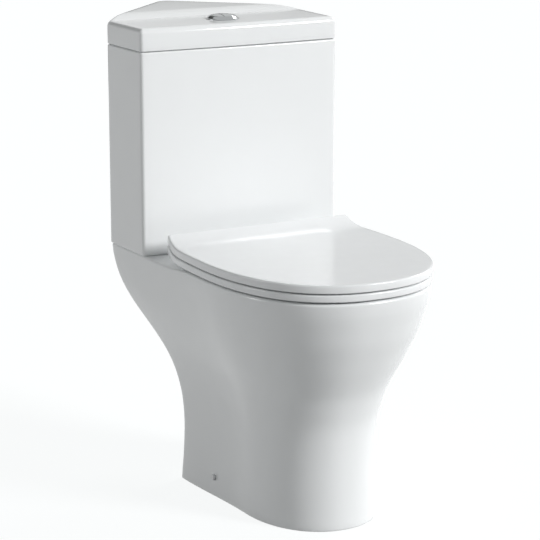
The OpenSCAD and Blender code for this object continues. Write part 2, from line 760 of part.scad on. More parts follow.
module seat_lid() {
    outer = function(inset, tuck) seat_outline(inset, seat_back_gap + tuck);
    mid = [0, -ring_hole_mid];
    inward = function(inset, share) [for (p = outer(inset, 2.6)) lerp(mid, p, share)];
    rings = concat(
        [for (share = [0.3, 0.6, 0.75]) on(inward(lid_margin + 3, share), function(y) lid_roof(y))],
        [on(outer(lid_margin + 3, 0), function(y) lid_roof(y)), on(outer(lid_margin, 0), function(y) lid_base(y) + 2)],
        [on(outer(lid_margin, 0), function(y) lid_base(y))],
        [on(outer(3, 0), function(y) lid_base(y)), on(outer(0.8, 0), function(y) lid_base(y) + 1.2)],
        [on(outer(0, 0), function(y) lid_base(y) + 3.5), on(outer(0, 0.6), function(y) lid_crown(y) - 3.5)],
        [on(outer(0.9, 2), function(y) lid_crown(y) - 1), on(outer(3, 2.6), function(y) lid_crown(y))],
        [for (share = [0.96, 0.91, 0.84, 0.75, 0.6, 0.3]) on(inward(3, share), function(y) lid_crown(y))]
    );
    web_y = knuckle_r - 2.5;
    color("white")
        place()
            difference() {
                union() {
                    skin(rings, concat(mid, lid_roof(mid[1])), concat(mid, lid_crown(mid[1])));
                    for (s = [-1, 1])
                        on_hinge(s) {
                            across(lid_knuckle_x, knuckle_r, knuckle_length);
                            translate([lid_knuckle_x, -knuckle_r, 0])
                                cube([knuckle_length, web_y, lid_base(-hinge_y) - hinge_z + 2]);
                        }
                }
                for (s = [-1, 1])
                    on_hinge(s)
                        across(lid_knuckle_x + damper_end, damper_r + 0.02, knuckle_length - damper_end + eps);
            }
}

// Places of the buffers under the ring and under the lid's margin: beside the bowl and near its tip
ring_buffer_places = [[150, -215], [75, -418]];
lid_buffer_places = [[167, -215], [60, -438]];
module buffers(places, bottom, height, r) {
    for (p = places, s = [-1, 1])
        translate([s * p[0], p[1], bottom])
            cylinder(h = height, r1 = r - 1, r2 = r);
}
module ring_buffers() {
    color("gainsboro")
        place()
            buffers(ring_buffer_places, rim_height + rest_gap, ring_gap - rest_gap, 7);
}
module lid_buffers() {
    color("gainsboro")
        place()
            buffers(lid_buffer_places, ring_top + rest_gap, lid_gap - rest_gap, 6);
}

post_disc = 2;
bolt_reach = 5.5;
module hinge_posts() {
    color("silver")
        place()
            for (s = [-1, 1])
                on_hinge(s)
                    translate([hinge_x, 0, 0])
                        difference() {
                            union() {
                                translate([0, 0, -hinge_rise])
                                    cylinder(h = post_disc, r = post_disc_d / 2);
                                translate([-post_width / 2, -knuckle_r, -hinge_rise])
                                    cube([post_width, knuckle_d, hinge_rise]);
                                across(-post_width / 2, knuckle_r, post_width);
                            }
                            across(-post_width, pin_r, 2 * post_width);
                            translate([0, 0, -hinge_rise - eps])
                                cylinder(h = bolt_reach + eps, r = seat_bolt_d / 2);
                        }
}

pin_length = post_width + 2 * (knuckle_gap + damper_length);
module hinge_pins() {
    color("silver")
        place()
            for (s = [-1, 1])
                on_hinge(s)
                    across(hinge_x - pin_length / 2, pin_r, pin_length);
}

module damper(x) {
    difference() {
        across(x, damper_r, damper_length);
        across(x - eps, pin_r + run_gap, damper_length + 2 * eps);
    }
}
module ring_dampers() {
    color("dimgray")
        place()
            for (s = [-1, 1])
                on_hinge(s)
                    damper(ring_knuckle_x + damper_end);
}
module lid_dampers() {
    color("dimgray")
        place()
            for (s = [-1, 1])
                on_hinge(s)
                    damper(lid_knuckle_x + knuckle_length - damper_end - damper_length);
}

seat_washer = 4;
seat_nut = 9;
bolt_tail = 3;
module at_seat_bolts() {
    place()
        for (s = [-1, 1])
            translate([s * hinge_x, -hinge_y, 0])
                children();
}
module seat_bolts() {
    bottom = deck_under - seat_washer - seat_nut - bolt_tail;
    color("silver")
        at_seat_bolts()
            translate([0, 0, bottom])
                cylinder(h = deck + bolt_reach - bottom, r = seat_bolt_d / 2);
}
module seat_bolt_washers() {
    color("black")
        at_seat_bolts()
            translate([0, 0, deck_under - seat_washer])
                difference() {
                    cylinder(h = seat_washer, r = seat_hole_r + 6);
                    translate([0, 0, -eps]) cylinder(h = seat_washer + 2 * eps, r = seat_bolt_d / 2);
                }
}
module seat_bolt_nuts() {
    color("white")
        at_seat_bolts()
            translate([0, 0, deck_under - seat_washer - seat_nut])
                difference() {
                    cylinder(h = seat_nut, r = seat_bolt_d / 2 + 6.5, $fn = 6);
                    translate([0, 0, -eps]) cylinder(h = seat_nut + 2 * eps, r = seat_bolt_d / 2);
                }
}

// Cistern fixings -----------------------------------------------------------------------------
coupling_washer = 3;
coupling_head = 5.5;
coupling_plate = 2;
coupling_nut = 10;
coupling_tail = 6;
coupling_washer_r = coupling_d / 2 + 8;
module at_coupling_bolts() {
    place()
        for (s = [-1, 1])
            translate([s * coupling_spacing / 2, flush_y, 0])
                children();
}
module coupling_bolts() {
    head_z = tank_inside + coupling_washer;
    bottom = deck_under - coupling_plate - coupling_nut - coupling_tail;
    color("silver")
        at_coupling_bolts() {
            translate([0, 0, head_z]) cylinder(h = coupling_head, r = coupling_d * 0.94, $fn = 6);
            translate([0, 0, bottom]) cylinder(h = head_z - bottom + eps / 2, r = coupling_d / 2);
        }
}
module coupling_washers() {
    color("black")
        at_coupling_bolts()
            translate([0, 0, tank_inside])
                difference() {
                    cylinder(h = coupling_washer, r = coupling_washer_r);
                    translate([0, 0, -eps]) cylinder(h = coupling_washer + 2 * eps, r = coupling_d / 2);
                }
}
module coupling_plates() {
    color("silver")
        at_coupling_bolts()
            translate([0, 0, deck_under - coupling_plate])
                difference() {
                    cylinder(h = coupling_plate, r = coupling_washer_r);
                    translate([0, 0, -eps]) cylinder(h = coupling_plate + 2 * eps, r = coupling_d / 2);
                }
}
// Wing nuts
module coupling_nuts() {
    hub_r = coupling_d / 2 + 4;
    wing = 20;
    color("white")
        at_coupling_bolts()
            translate([0, 0, deck_under - coupling_plate - coupling_nut])
                difference() {
                    union() {
                        cylinder(h = coupling_nut, r = hub_r);
                        translate([-2, -wing, 0]) cube([4, 2 * wing, coupling_nut * 0.7]);
                    }
                    translate([0, 0, -eps]) cylinder(h = coupling_nut + 2 * eps, r = coupling_d / 2);
                }
}

// Flush valve ---------------------------------------------------------------------------------
valve_thread_r = valve_thread_d / 2;
valve_washer = 3;
valve_flange_r = valve_thread_r + 13;
valve_flange = 4;
valve_body_r = valve_thread_r + 6;
valve_body_height = 29;
valve_bore_r = valve_thread_r - 5;
valve_nut = 12;
valve_nut_r = valve_thread_r + 10;
valve_bottom = deck - recess_depth + 2;
seat_z = tank_inside + valve_washer + valve_body_height;
overflow_r = overflow_d / 2;
overflow_x = valve_body_r + overflow_r + 1;
overflow_socket_r = overflow_r + 3;
overflow_foot = seat_z - 12;
module at_flush() {
    place() translate([0, flush_y, 0]) children();
}
module ring_solid(z, height, outer_r, inner_r) {
    translate([0, 0, z])
        difference() {
            cylinder(h = height, r = outer_r);
            translate([0, 0, -eps]) cylinder(h = height + 2 * eps, r = inner_r);
        }
}
module doughnut_washer() {
    color("black")
        at_flush()
            ring_solid(deck - recess_depth, recess_depth - valve_nut, recess_r - 1, valve_thread_r);
}
module flush_valve_nut() {
    color("white")
        at_flush()
            translate([0, 0, deck - valve_nut])
                difference() {
                    cylinder(h = valve_nut, r = valve_nut_r, $fn = 8);
                    translate([0, 0, -eps]) cylinder(h = valve_nut + 2 * eps, r = valve_thread_r);
                }
}
module flush_valve_washer() {
    color("black")
        at_flush()
            ring_solid(tank_inside, valve_washer, valve_flange_r, valve_thread_r);
}
module flush_valve_base() {
    flange_z = tank_inside + valve_washer;
    passage_z = (flange_z + overflow_foot) / 2;
    passage_r = (overflow_foot - flange_z) / 2 - 2;
    color("white")
        at_flush()
            difference() {
                union() {
                    translate([0, 0, valve_bottom]) cylinder(h = flange_z - valve_bottom + eps, r = valve_thread_r);
                    translate([0, 0, flange_z]) cylinder(h = valve_flange, r = valve_flange_r);
                    translate([0, 0, flange_z]) cylinder(h = valve_body_height, r = valve_body_r);
                    translate([-overflow_x, 0, flange_z]) cylinder(h = valve_body_height, r = overflow_socket_r);
                }
                translate([0, 0, valve_bottom - eps])
                    cylinder(h = seat_z - valve_bottom + 2 * eps, r = valve_bore_r);
                translate([-overflow_x, 0, overflow_foot]) cylinder(h = 40, r = overflow_r);
                translate([-overflow_x, 0, passage_z - passage_r])
                    cylinder(h = overflow_foot - passage_z + passage_r + eps, r = overflow_r - 2);
                translate([0, 0, passage_z]) across(-overflow_x, passage_r, overflow_x);
            }
}
module overflow_pipe() {
    top = tank_inside + overflow_height;
    color("whitesmoke")
        at_flush()
            translate([-overflow_x, 0, 0])
                ring_solid(overflow_foot, top - overflow_foot, overflow_r, overflow_r - 1.6);
}

tower_r = valve_body_r - 0.5;
tower_wall = 4;
tower_ring = 8;
cage_height = 110;
head_r = 27;
head_wall = 3;
stem_r = 5;
seal_r = valve_bore_r + 4.5;
seal_thickness = 3;
lifter_disc = 4;
tower_top = tank_inside + tower_height;
head_z = seat_z + cage_height;
stem_top = tower_top - head_wall - valve_lift - 16;
module flush_valve_tower() {
    color("whitesmoke")
        at_flush() {
            difference() {
                union() {
                    ring_solid(seat_z, tower_ring, tower_r, tower_r - tower_wall);
                    for (a = [0, 90, 180, 270])
                        rotate([0, 0, a + 45])
                            translate([tower_r - tower_wall, -5, seat_z])
                                cube([tower_wall - 1, 10, cage_height + head_wall]);
                    translate([0, 0, head_z]) cylinder(h = head_wall, r = tower_r);
                    translate([0, 0, head_z]) cylinder(h = tower_top - head_z, r = head_r);
                }
                translate([0, 0, head_z + head_wall])
                    cylinder(h = tower_top - head_z - 2 * head_wall, r = head_r - head_wall);
                translate([0, 0, head_z - eps]) cylinder(h = head_wall + 2 * eps, r = stem_r + 0.4);
                for (s = [-1, 1])
                    translate([s * rod_offset, 0, tower_top - head_wall - eps])
                        cylinder(h = head_wall + 2 * eps, r = rod_d / 2 + 0.5);
            }
        }
}
module flush_valve_lifter() {
    disc_z = seat_z + rest_gap + seal_thickness;
    color("royalblue")
        at_flush() {
            translate([0, 0, disc_z]) cylinder(h = lifter_disc, r = seal_r - 1.5);
            translate([0, 0, disc_z]) cylinder(h = stem_top - disc_z, r = stem_r);
        }
}
module flush_valve_seal() {
    color("red")
        at_flush()
            translate([0, 0, seat_z + rest_gap])
                cylinder(h = seal_thickness, r = seal_r);
}

// Flush buttons -------------------------------------------------------------------------------
bezel_r = bezel_d / 2;
neck_r = bezel_neck_d / 2;
button_r = button_d / 2;
bezel_bore_r = button_r + 0.4;
bezel_rise = 4.5;
neck_depth = 28;
ledge_r = rod_offset + rod_d / 2 + 2;
button_depth = 9;
button_proud = 1.2;
button_split = -6;
button_slit = 0.8;
button_top = lid_low + bezel_rise + button_proud;
button_bottom = button_top - button_depth;
module button_bezel() {
    color("silver")
        at_flush()
            rotate_extrude()
                polygon([
                    [bezel_bore_r, lid_low - neck_depth + 3],
                    [ledge_r, lid_low - neck_depth + 3],
                    [ledge_r, lid_low - neck_depth],
                    [neck_r, lid_low - neck_depth],
                    [neck_r, lid_low],
                    [bezel_r, lid_low],
                    [bezel_r - 0.8, lid_low + bezel_rise * 0.35],
                    [bezel_r - 3, lid_low + bezel_rise * 0.75],
                    [bezel_r - 6, lid_low + bezel_rise],
                    [bezel_bore_r, lid_low + bezel_rise]
                ]);
}
module button_nut() {
    nut = 6;
    color("white")
        at_flush()
            translate([0, 0, lid_inside - nut])
                difference() {
                    cylinder(h = nut, r = bezel_r - 1, $fn = 8);
                    translate([0, 0, -eps]) cylinder(h = nut + 2 * eps, r = neck_r);
                }
}
// A domed disc, of which each button keeps one side of the slit
module button_disc() {
    dome = 1.6;
    dome_r = (button_r * button_r + dome * dome) / (2 * dome);
    intersection() {
        translate([0, 0, button_bottom]) cylinder(h = button_depth, r = button_r);
        translate([0, 0, button_top - dome_r]) sphere(r = dome_r, $fn = 180);
    }
}
module full_flush_button() {
    color("silver")
        at_flush()
            intersection() {
                button_disc();
                translate([button_split + button_slit / 2, -button_r, button_bottom - eps])
                    cube([2 * button_r, 2 * button_r, button_depth + 2 * eps]);
            }
}
module half_flush_button() {
    color("silver")
        at_flush()
            intersection() {
                button_disc();
                translate([button_split - button_slit / 2 - 2 * button_r, -button_r, button_bottom - eps])
                    cube([2 * button_r, 2 * button_r, button_depth + 2 * eps]);
            }
}
rod_bottom = tower_top - head_wall - 10;
module push_rod(side) {
    color("white")
        at_flush()
            translate([side * rod_offset, 0, rod_bottom])
                cylinder(h = button_bottom - rod_bottom, r = rod_d / 2);
}
module full_flush_rod() { push_rod(1); }
module half_flush_rod() { push_rod(-1); }

// Fill valve ----------------------------------------------------------------------------------
fill_x = cistern_width / 2 - fill_from_side;
inlet_r = inlet_d / 2;
fill_washer = 3;
fill_flange = 3;
fill_nut = 10;
inlet_tail = 34;
riser_r = 12;
valve_head_r = 18;
valve_head_height = 26;
fill_cap_height = 8;
arm_z = tank_inside + arm_height;
pivot_y = 25;
lug_gap = 8.6;
lug = 4;
arm_width = 8;
arm_depth = 6;
float_pin_r = 2;
module at_fill() {
    place() translate([fill_x, fill_y, 0]) children();
}
module fill_valve_washer() {
    color("black")
        at_fill()
            ring_solid(tank_inside, fill_washer, riser_r + 5, inlet_r);
}
module fill_valve_nut() {
    color("white")
        at_fill()
            translate([0, 0, deck - fill_nut])
                difference() {
                    cylinder(h = fill_nut, r = inlet_r + 7, $fn = 6);
                    translate([0, 0, -eps]) cylinder(h = fill_nut + 2 * eps, r = inlet_r);
                }
}
module fill_valve_body() {
    flange_z = tank_inside + fill_washer;
    head_bottom = arm_z - valve_head_height + 6;
    color("white")
        at_fill()
            difference() {
                union() {
                    translate([0, 0, deck - fill_nut - inlet_tail])
                        cylinder(h = flange_z - deck + fill_nut + inlet_tail + eps, r = inlet_r);
                    translate([0, 0, flange_z]) cylinder(h = fill_flange, r = riser_r + 4);
                    translate([0, 0, flange_z]) cylinder(h = head_bottom - flange_z + eps, r = riser_r);
                    translate([0, 0, head_bottom]) cylinder(h = valve_head_height, r = valve_head_r);
                    for (s = [-1, 1])
                        translate([s * (lug_gap + lug) / 2 - lug / 2, valve_head_r - 6, arm_z - 5])
                            cube([lug, pivot_y - valve_head_r + 11, 10]);
                }
                translate([0, 0, deck - fill_nut - inlet_tail - eps])
                    cylinder(h = head_bottom - deck + fill_nut + inlet_tail, r = 5);
                translate([0, 0, deck - fill_nut - inlet_relief])
                    ring_solid(0, inlet_relief, inlet_r + 1, inlet_r - 0.6);
                translate([0, pivot_y, arm_z]) across(-20, float_pin_r, 40);
            }
}
module fill_valve_cap() {
    color("red")
        at_fill()
            translate([0, 0, arm_z + 6])
                cylinder(h = fill_cap_height, r1 = valve_head_r + 1, r2 = valve_head_r - 1);
}
module float_pin() {
    color("silver")
        at_fill()
            translate([0, pivot_y, arm_z])
                across(-lug_gap / 2 - lug - 1, float_pin_r, lug_gap + 2 * lug + 2);
}
// The float and its arm are drawn hanging, as in an empty tank
module on_float_arm() {
    at_fill()
        translate([0, pivot_y, arm_z])
            rotate([-arm_drop, 0, 0])
                children();
}
module float_arm() {
    color("white")
        on_float_arm()
            difference() {
                union() {
                    across(-arm_width / 2, 5, arm_width);
                    translate([-arm_width / 2, 0, -arm_depth / 2])
                        cube([arm_width, arm_reach + 6, arm_depth]);
                }
                across(-arm_width, float_pin_r + run_gap, 2 * arm_width);
            }
}
module float_cup() {
    wall = 2;
    neck = 8;
    color("lightblue")
        on_float_arm()
            translate([0, arm_reach, -arm_depth / 2]) {
                translate([0, 0, -neck]) cylinder(h = neck, r = 4);
                translate([0, 0, -neck - float_height])
                    difference() {
                        cylinder(h = float_height, r = float_d / 2);
                        translate([0, 0, -wall]) cylinder(h = float_height, r = float_d / 2 - wall);
                    }
            }
}

// Floor fixings -------------------------------------------------------------------------------
bracket_length = 44;
bracket_base = 34;
bracket_thick = 5;
bracket_height = 52;
screw_length = 34;
cap_depth = 2.5;
function outside_x(y, z) = lookup(y, [for (p = pan_outline(z, 0)) if (p[0] > 0 && p[1] > -foot_shoulder) [p[1], p[0]]]);
fix_x = outside_x(-side_fix_y, side_fix_height) + 0.4;
fix_inside_x = fix_x - pan_wall - 3;
module on_sides() {
    place()
        for (s = [-1, 1])
            mirror([s < 0 ? 1 : 0, 0, 0])
                translate([0, -side_fix_y, 0])
                    children();
}
module floor_brackets() {
    color("white")
        on_sides()
            difference() {
                union() {
                    translate([fix_inside_x - bracket_thick, -bracket_length / 2, 0])
                        cube([bracket_thick, bracket_length, bracket_height]);
                    translate([fix_inside_x - bracket_base, -bracket_length / 2, 0])
                        cube([bracket_base, bracket_length, bracket_thick]);
                    translate([fix_inside_x - 16, 0, side_fix_height])
                        across(0, 7, 16 - bracket_thick + eps);
                }
                translate([fix_inside_x - 20, 0, side_fix_height])
                    across(0, side_screw_d / 2, 30);
                translate([fix_inside_x - bracket_base / 2 - bracket_thick, 0, -eps])
                    cylinder(h = bracket_thick + 2 * eps, r = floor_hole_d / 2);
            }
}
module bracket_screws() {
    head = 2.5;
    color("silver")
        on_sides()
            translate([fix_x, 0, side_fix_height]) {
                across(-screw_length, side_screw_d / 2, screw_length);
                across(0, side_screw_d / 2 + 2, head);
            }
}
module fixing_caps() {
    color("white")
        on_sides()
            translate([fix_x, 0, side_fix_height])
                difference() {
                    across(0, cap_d / 2, cap_depth + 1.5);
                    across(-eps, side_screw_d / 2 + 2, cap_depth + eps);
                }
}

pan();
cistern();
cistern_lid();
seat_ring();
seat_lid();
ring_buffers();
lid_buffers();
hinge_posts();
hinge_pins();
ring_dampers();
lid_dampers();
seat_bolts();
seat_bolt_washers();
seat_bolt_nuts();
coupling_bolts();
coupling_washers();
coupling_plates();
coupling_nuts();
doughnut_washer();
flush_valve_base();
flush_valve_washer();
flush_valve_nut();
flush_valve_tower();
flush_valve_lifter();
flush_valve_seal();
overflow_pipe();
button_bezel();
button_nut();
full_flush_button();
half_flush_button();
full_flush_rod();
half_flush_rod();
fill_valve_body();
fill_valve_cap();
fill_valve_washer();
fill_valve_nut();
float_arm();
float_cup();
float_pin();
floor_brackets();
bracket_screws();
fixing_caps();
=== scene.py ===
"""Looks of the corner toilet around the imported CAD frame.

Metres in the part's frame: +Z up, -Y towards the tip of the seat, +Y into the room's corner.
The shape functions work in millimetres with y = 0 on the cistern's front, like the CAD source,
and skin() moves what they make into the frame.
"""

import json
import math

import bpy
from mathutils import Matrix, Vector


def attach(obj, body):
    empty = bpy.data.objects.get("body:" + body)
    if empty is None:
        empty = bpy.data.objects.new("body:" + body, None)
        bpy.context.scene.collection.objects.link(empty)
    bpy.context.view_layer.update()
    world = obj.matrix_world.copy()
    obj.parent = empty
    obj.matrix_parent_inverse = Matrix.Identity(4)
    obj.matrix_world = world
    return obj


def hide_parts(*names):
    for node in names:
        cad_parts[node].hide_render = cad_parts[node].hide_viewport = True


MM = 0.001

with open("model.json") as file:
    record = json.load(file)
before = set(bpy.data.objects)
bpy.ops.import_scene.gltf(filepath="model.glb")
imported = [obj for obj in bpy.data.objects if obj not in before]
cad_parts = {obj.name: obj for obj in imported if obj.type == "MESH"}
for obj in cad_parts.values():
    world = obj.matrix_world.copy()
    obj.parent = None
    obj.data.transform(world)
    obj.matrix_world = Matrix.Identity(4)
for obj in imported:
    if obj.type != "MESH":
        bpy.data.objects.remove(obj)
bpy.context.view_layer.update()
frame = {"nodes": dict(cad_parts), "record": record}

# ---------------------------------------------------------------------------- sizes, in millimetres
CISTERN_WIDTH = 368.0
SIDE_DEPTH = 126.2
SIDE_SPLAY = 1.1
FRONT_BOW = 5.1
TANK_HEIGHT = 341.0
TANK_WALL = 10.0
TANK_FLOOR = 12.0
FRONT_EDGE_R, SIDE_EDGE_R, BACK_EDGE_R = 6.0, 10.0, 28.0
LID_HEIGHT, LID_STEP, LID_STEP_RUN = 38.8, 7.0, 40.0
LID_EDGE_R, LID_PLATE = 9.5, 11.0
LID_RIB_DEPTH, LID_RIB, LID_RIB_GAP = 8.0, 8.0, 2.0
RIM_HEIGHT, DECK_DROP = 400.0, 4.0
RIM_WIDTH, RIM_REACH = 356.6, 456.0
PEDESTAL_WIDTH, PEDESTAL_REACH = 218.0, 361.0
FOOT_WIDTH, FOOT_BACK = 236.0, 8.0
SHELF_INSET = 1.6
PAN_WALL, DECK_PLATE, PAN_EDGE_R = 13.0, 18.0, 5.0
BOWL_WIDTH, BOWL_LENGTH, BOWL_BACK, BOWL_WALL = 260.0, 284.0, 135.0, 11.0
SUMP_FLOOR = 71.0
OUTLET_HEIGHT, OUTLET_OD, OUTLET_LENGTH = 180.0, 102.0, 48.0
TRAP_BORE, TRAP_WALL, TRAP_BEND_R = 76.0, 7.0, 55.0
SEAT_WIDTH, SEAT_REACH, SEAT_BACK_GAP, RING_BACK_EXTRA = 360.2, 458.2, 60.0, 6.0
RING_THICKNESS, SEAT_LID_THICKNESS, RING_GAP, LID_GAP = 11.6, 13.3, 3.2, 2.4
RING_HOLE_WIDTH, RING_HOLE_LENGTH, RING_HOLE_BACK = 226.0, 262.0, 142.0
RING_SWEEP, GAP_SWEEP, LID_SWEEP = 8.0, 12.0, 14.0
HINGE_X, HINGE_Y, HINGE_RISE = 77.5, 62.0, 11.0
KNUCKLE_R, KNUCKLE_LENGTH = 8.5, 38.0
RING_KNUCKLE_X, LID_KNUCKLE_X = 86.3, 30.7
FLUSH_Y = 65.0
INLET_X, INLET_Y, COUPLING_X = 122.0, 55.0, 75.0
VALVE_HOLE_R, INLET_HOLE_R, INLET_WELL_R = 31.0, 11.45, 23.0
COUPLING_HOLE_R, SEAT_BOLT_HOLE_R, BEZEL_HOLE_R = 5.5, 7.0, 23.0

DECK = RIM_HEIGHT - DECK_DROP
TANK_INSIDE = DECK + TANK_FLOOR
TANK_TOP = DECK + TANK_HEIGHT
LID_LOW = TANK_TOP + LID_HEIGHT
LID_INSIDE = LID_LOW - LID_PLATE
RING_BOTTOM = RIM_HEIGHT + RING_GAP
RING_TOP = RING_BOTTOM + RING_THICKNESS
SEAT_LID_BOTTOM = RING_TOP + LID_GAP
SEAT_LID_TOP = SEAT_LID_BOTTOM + SEAT_LID_THICKNESS
DECK_UNDER = DECK - DECK_PLATE
HINGE_Z = DECK + HINGE_RISE

HALF_FRONT = CISTERN_WIDTH / 2
SPLAY = math.tan(math.radians(SIDE_SPLAY))
SPLAY_COS = math.cos(math.radians(SIDE_SPLAY))
APEX_Y = SIDE_DEPTH + HALF_FRONT + SIDE_DEPTH * SPLAY
CISTERN_BACK = APEX_Y - BACK_EDGE_R * (math.sqrt(2) - 1)
CREASE_Y = SIDE_DEPTH - SIDE_EDGE_R * math.tan(math.radians((45 + SIDE_SPLAY) / 2)) * SPLAY_COS
FRAME_Y = (SEAT_REACH - CISTERN_BACK) / 2


# ---------------------------------------------------------------------------- points and curves
def lerp(a, b, t):
    return a + (b - a) * t


def clamp01(t):
    return min(1.0, max(0.0, t))


def ease(t):
    t = clamp01(t)
    return t * t * (3 - 2 * t)


def mix2(a, b, t):
    return (lerp(a[0], b[0], t), lerp(a[1], b[1], t))


def fillet(a, b, c, r, n):
    """The arc that rounds corner b between a and c, walked counter-clockwise in n steps."""
    a, b, c = Vector(a), Vector(b), Vector(c)
    u, v = (a - b).normalized(), (c - b).normalized()
    half = math.acos(max(-1.0, min(1.0, u.dot(v)))) / 2
    centre = b + (u + v).normalized() * (r / math.sin(half))
    start = b + u * (r / math.tan(half)) - centre
    first = math.atan2(start.y, start.x)
    turn = math.pi - 2 * half
    return [
        (centre.x + r * math.cos(first + turn * k / n), centre.y + r * math.sin(first + turn * k / n))
        for k in range(n + 1)
    ]


def mirrored(right):
    """A symmetric outline from its right half, which starts and ends on the centre line."""
    return right + [(-x, y) for x, y in reversed(right[1:-1])]


def segment(a, b, n):
    """n points between a and b, without its ends."""
    return [mix2(a, b, (k + 1) / (n + 1)) for k in range(n)]


def curve(rows, col, z):
    """Smooth curve through one column of rows, read at a value of their first column."""

    def slope(k):
        a, b = max(0, k - 1), min(len(rows) - 1, k + 1)
        return (rows[b][col] - rows[a][col]) / (rows[b][0] - rows[a][0])

    k = 0
    while k < len(rows) - 2 and z >= rows[k + 1][0]:
        k += 1
    h = rows[k + 1][0] - rows[k][0]
    t = clamp01((z - rows[k][0]) / h)
    t2, t3 = t * t, t * t * t
    return (
        (2 * t3 - 3 * t2 + 1) * rows[k][col]
        + (t3 - 2 * t2 + t) * h * slope(k)
        + (3 * t2 - 2 * t3) * rows[k + 1][col]
        + (t3 - t2) * h * slope(k + 1)
    )


def at_z(points, z):
    """Points laid on a level."""
    return [(x, y, z) for x, y in points]


def on(points, z_of, rise=0.0):
    """Points laid on a surface whose height depends on y, or held above it by rise."""
    return [(x, y, z_of(y) + rise) for x, y in points]


def between(a, b, t):
    """The outline at share t of the way from outline a to outline b."""
    return [mix2(p, q, t) for p, q in zip(a, b)]


def quarter(steps=5):
    """(sine, cosine) pairs over a quarter turn, from (0, 1) to (1, 0)."""
    return [(math.sin(math.pi / 2 * k / steps), math.cos(math.pi / 2 * k / steps)) for k in range(steps + 1)]


def half_back(side, tip, r, steps):
    """The right half of the rounding of a tip on the centre line."""
    return fillet(side, tip, (-side[0], side[1]), r, steps)[: steps // 2 + 1]


# ---------------------------------------------------------------------------- meshes
def link(name, mesh):
    """A new object in the scene."""
    piece = bpy.data.objects.new(name, mesh)
    bpy.context.scene.collection.objects.link(piece)
    return piece


def skin(name, rings, first=None, last=None):
    """A closed mesh over rings of points; without end points the last ring joins the first."""
    n = len(rings[0])
    count = len(rings)
    looped = first is None
    points = [p for ring in rings for p in ring]
    faces = []
    for i in range(count if looped else count - 1):
        a, b = i * n, ((i + 1) % count) * n
        faces += [(a + j, a + (j + 1) % n, b + (j + 1) % n, b + j) for j in range(n)]
    if not looped:
        low, high, top = len(points), len(points) + 1, (count - 1) * n
        points += [first, last]
        faces += [(low, (j + 1) % n, j) for j in range(n)]
        faces += [(high, top + j, top + (j + 1) % n) for j in range(n)]
    mesh = bpy.data.meshes.new(name)
    mesh.from_pydata([(x * MM, (y + FRAME_Y) * MM, z * MM) for x, y, z in points], [], faces)
    mesh.update()
    return link(name, mesh)


def around(centre, axis, r, angle, h):
    """The point at radius r and an angle around an axis through centre, h along it."""
    cx, cy, cz = centre
    u, v = r * math.cos(angle), r * math.sin(angle)
    points = {"X": (cx + h, cy + u, cz + v), "Y": (cx - u, cy + h, cz + v), "Z": (cx + u, cy + v, cz + h)}
    return points[axis]


def turns(steps):
    """The angles of one full turn."""
    return [2 * math.pi * k / steps for k in range(steps)]


def lathe(name, profile, centre, steps):
    """A closed ring about Z: profile is (radius, height) pairs, with the solid on their left."""
    return skin(name, [[around(centre, "Z", r, a, h) for r, h in profile] for a in turns(steps)])


def rod(name, centre, r, length, axis="Z", steps=64, round_r=0.0):
    """A solid cylinder from centre along the axis."""
    profile = [(r - round_r, 0.0), (r, round_r), (r, length - round_r), (r - round_r, length)]
    if not round_r:
        profile = [(r, 0.0), (r, length)]
    rings = [[around(centre, axis, radius, a, h) for a in turns(steps)] for radius, h in profile]
    return skin(name, rings, centre, around(centre, axis, 0.0, 0.0, length))


def block(name, low, high):
    """A box between two corners."""
    (x0, y0, z0), (x1, y1, z1) = low, high
    ring = [(x0, y0), (x1, y0), (x1, y1), (x0, y1)]
    mid = ((x0 + x1) / 2, (y0 + y1) / 2)
    return skin(name, [at_z(ring, z0), at_z(ring, z1)], (*mid, z0), (*mid, z1))


def carve(piece, tools, operation):
    """Adds or cuts each tool, then removes it."""
    for tool in tools:
        modifier = piece.modifiers.new("carve", "BOOLEAN")
        modifier.operation = operation
        modifier.solver = "EXACT"
        modifier.object = tool
        bpy.context.view_layer.update()
        shape = piece.evaluated_get(bpy.context.evaluated_depsgraph_get())
        mesh = bpy.data.meshes.new_from_object(shape)
        piece.modifiers.remove(modifier)
        piece.data = mesh
        bpy.data.objects.remove(tool)


SHARP_DEGREES = 35.0


def finish_mesh(piece):
    """Smooth shading with crisp edges where the form turns sharply."""
    mesh = piece.data
    mesh.name = piece.name
    for polygon in mesh.polygons:
        polygon.use_smooth = True
    mesh.set_sharp_from_angle(angle=math.radians(SHARP_DEGREES))
    mesh.update()


# ---------------------------------------------------------------------------- materials
def node_tree(name):
    """A new material, its nodes and its main shader."""
    mat = bpy.data.materials.new(name)
    mat.use_nodes = True
    tree = mat.node_tree
    return mat, tree, tree.nodes["Principled BSDF"]


def noise(tree, scale, detail=3.0, roughness=0.5, stretch=None):
    """Noise in the piece's own coordinates, about 0.3 to 0.7."""
    coords = tree.nodes.new("ShaderNodeTexCoord")
    texture = tree.nodes.new("ShaderNodeTexNoise")
    texture.inputs["Scale"].default_value = scale
    texture.inputs["Detail"].default_value = detail
    texture.inputs["Roughness"].default_value = roughness
    if stretch:
        mapping = tree.nodes.new("ShaderNodeMapping")
        mapping.inputs["Scale"].default_value = stretch
        tree.links.new(coords.outputs["Object"], mapping.inputs["Vector"])
        tree.links.new(mapping.outputs["Vector"], texture.inputs["Vector"])
    else:
        tree.links.new(coords.outputs["Object"], texture.inputs["Vector"])
    return texture.outputs["Fac"]


def remap(tree, value, low, high, from_low=0.3, from_high=0.7):
    """Moves a value from its own range, which by default is a noise's, to low and high."""
    node = tree.nodes.new("ShaderNodeMapRange")
    node.inputs["From Min"].default_value = from_low
    node.inputs["From Max"].default_value = from_high
    node.inputs["To Min"].default_value = low
    node.inputs["To Max"].default_value = high
    tree.links.new(value, node.inputs["Value"])
    return node.outputs["Result"]


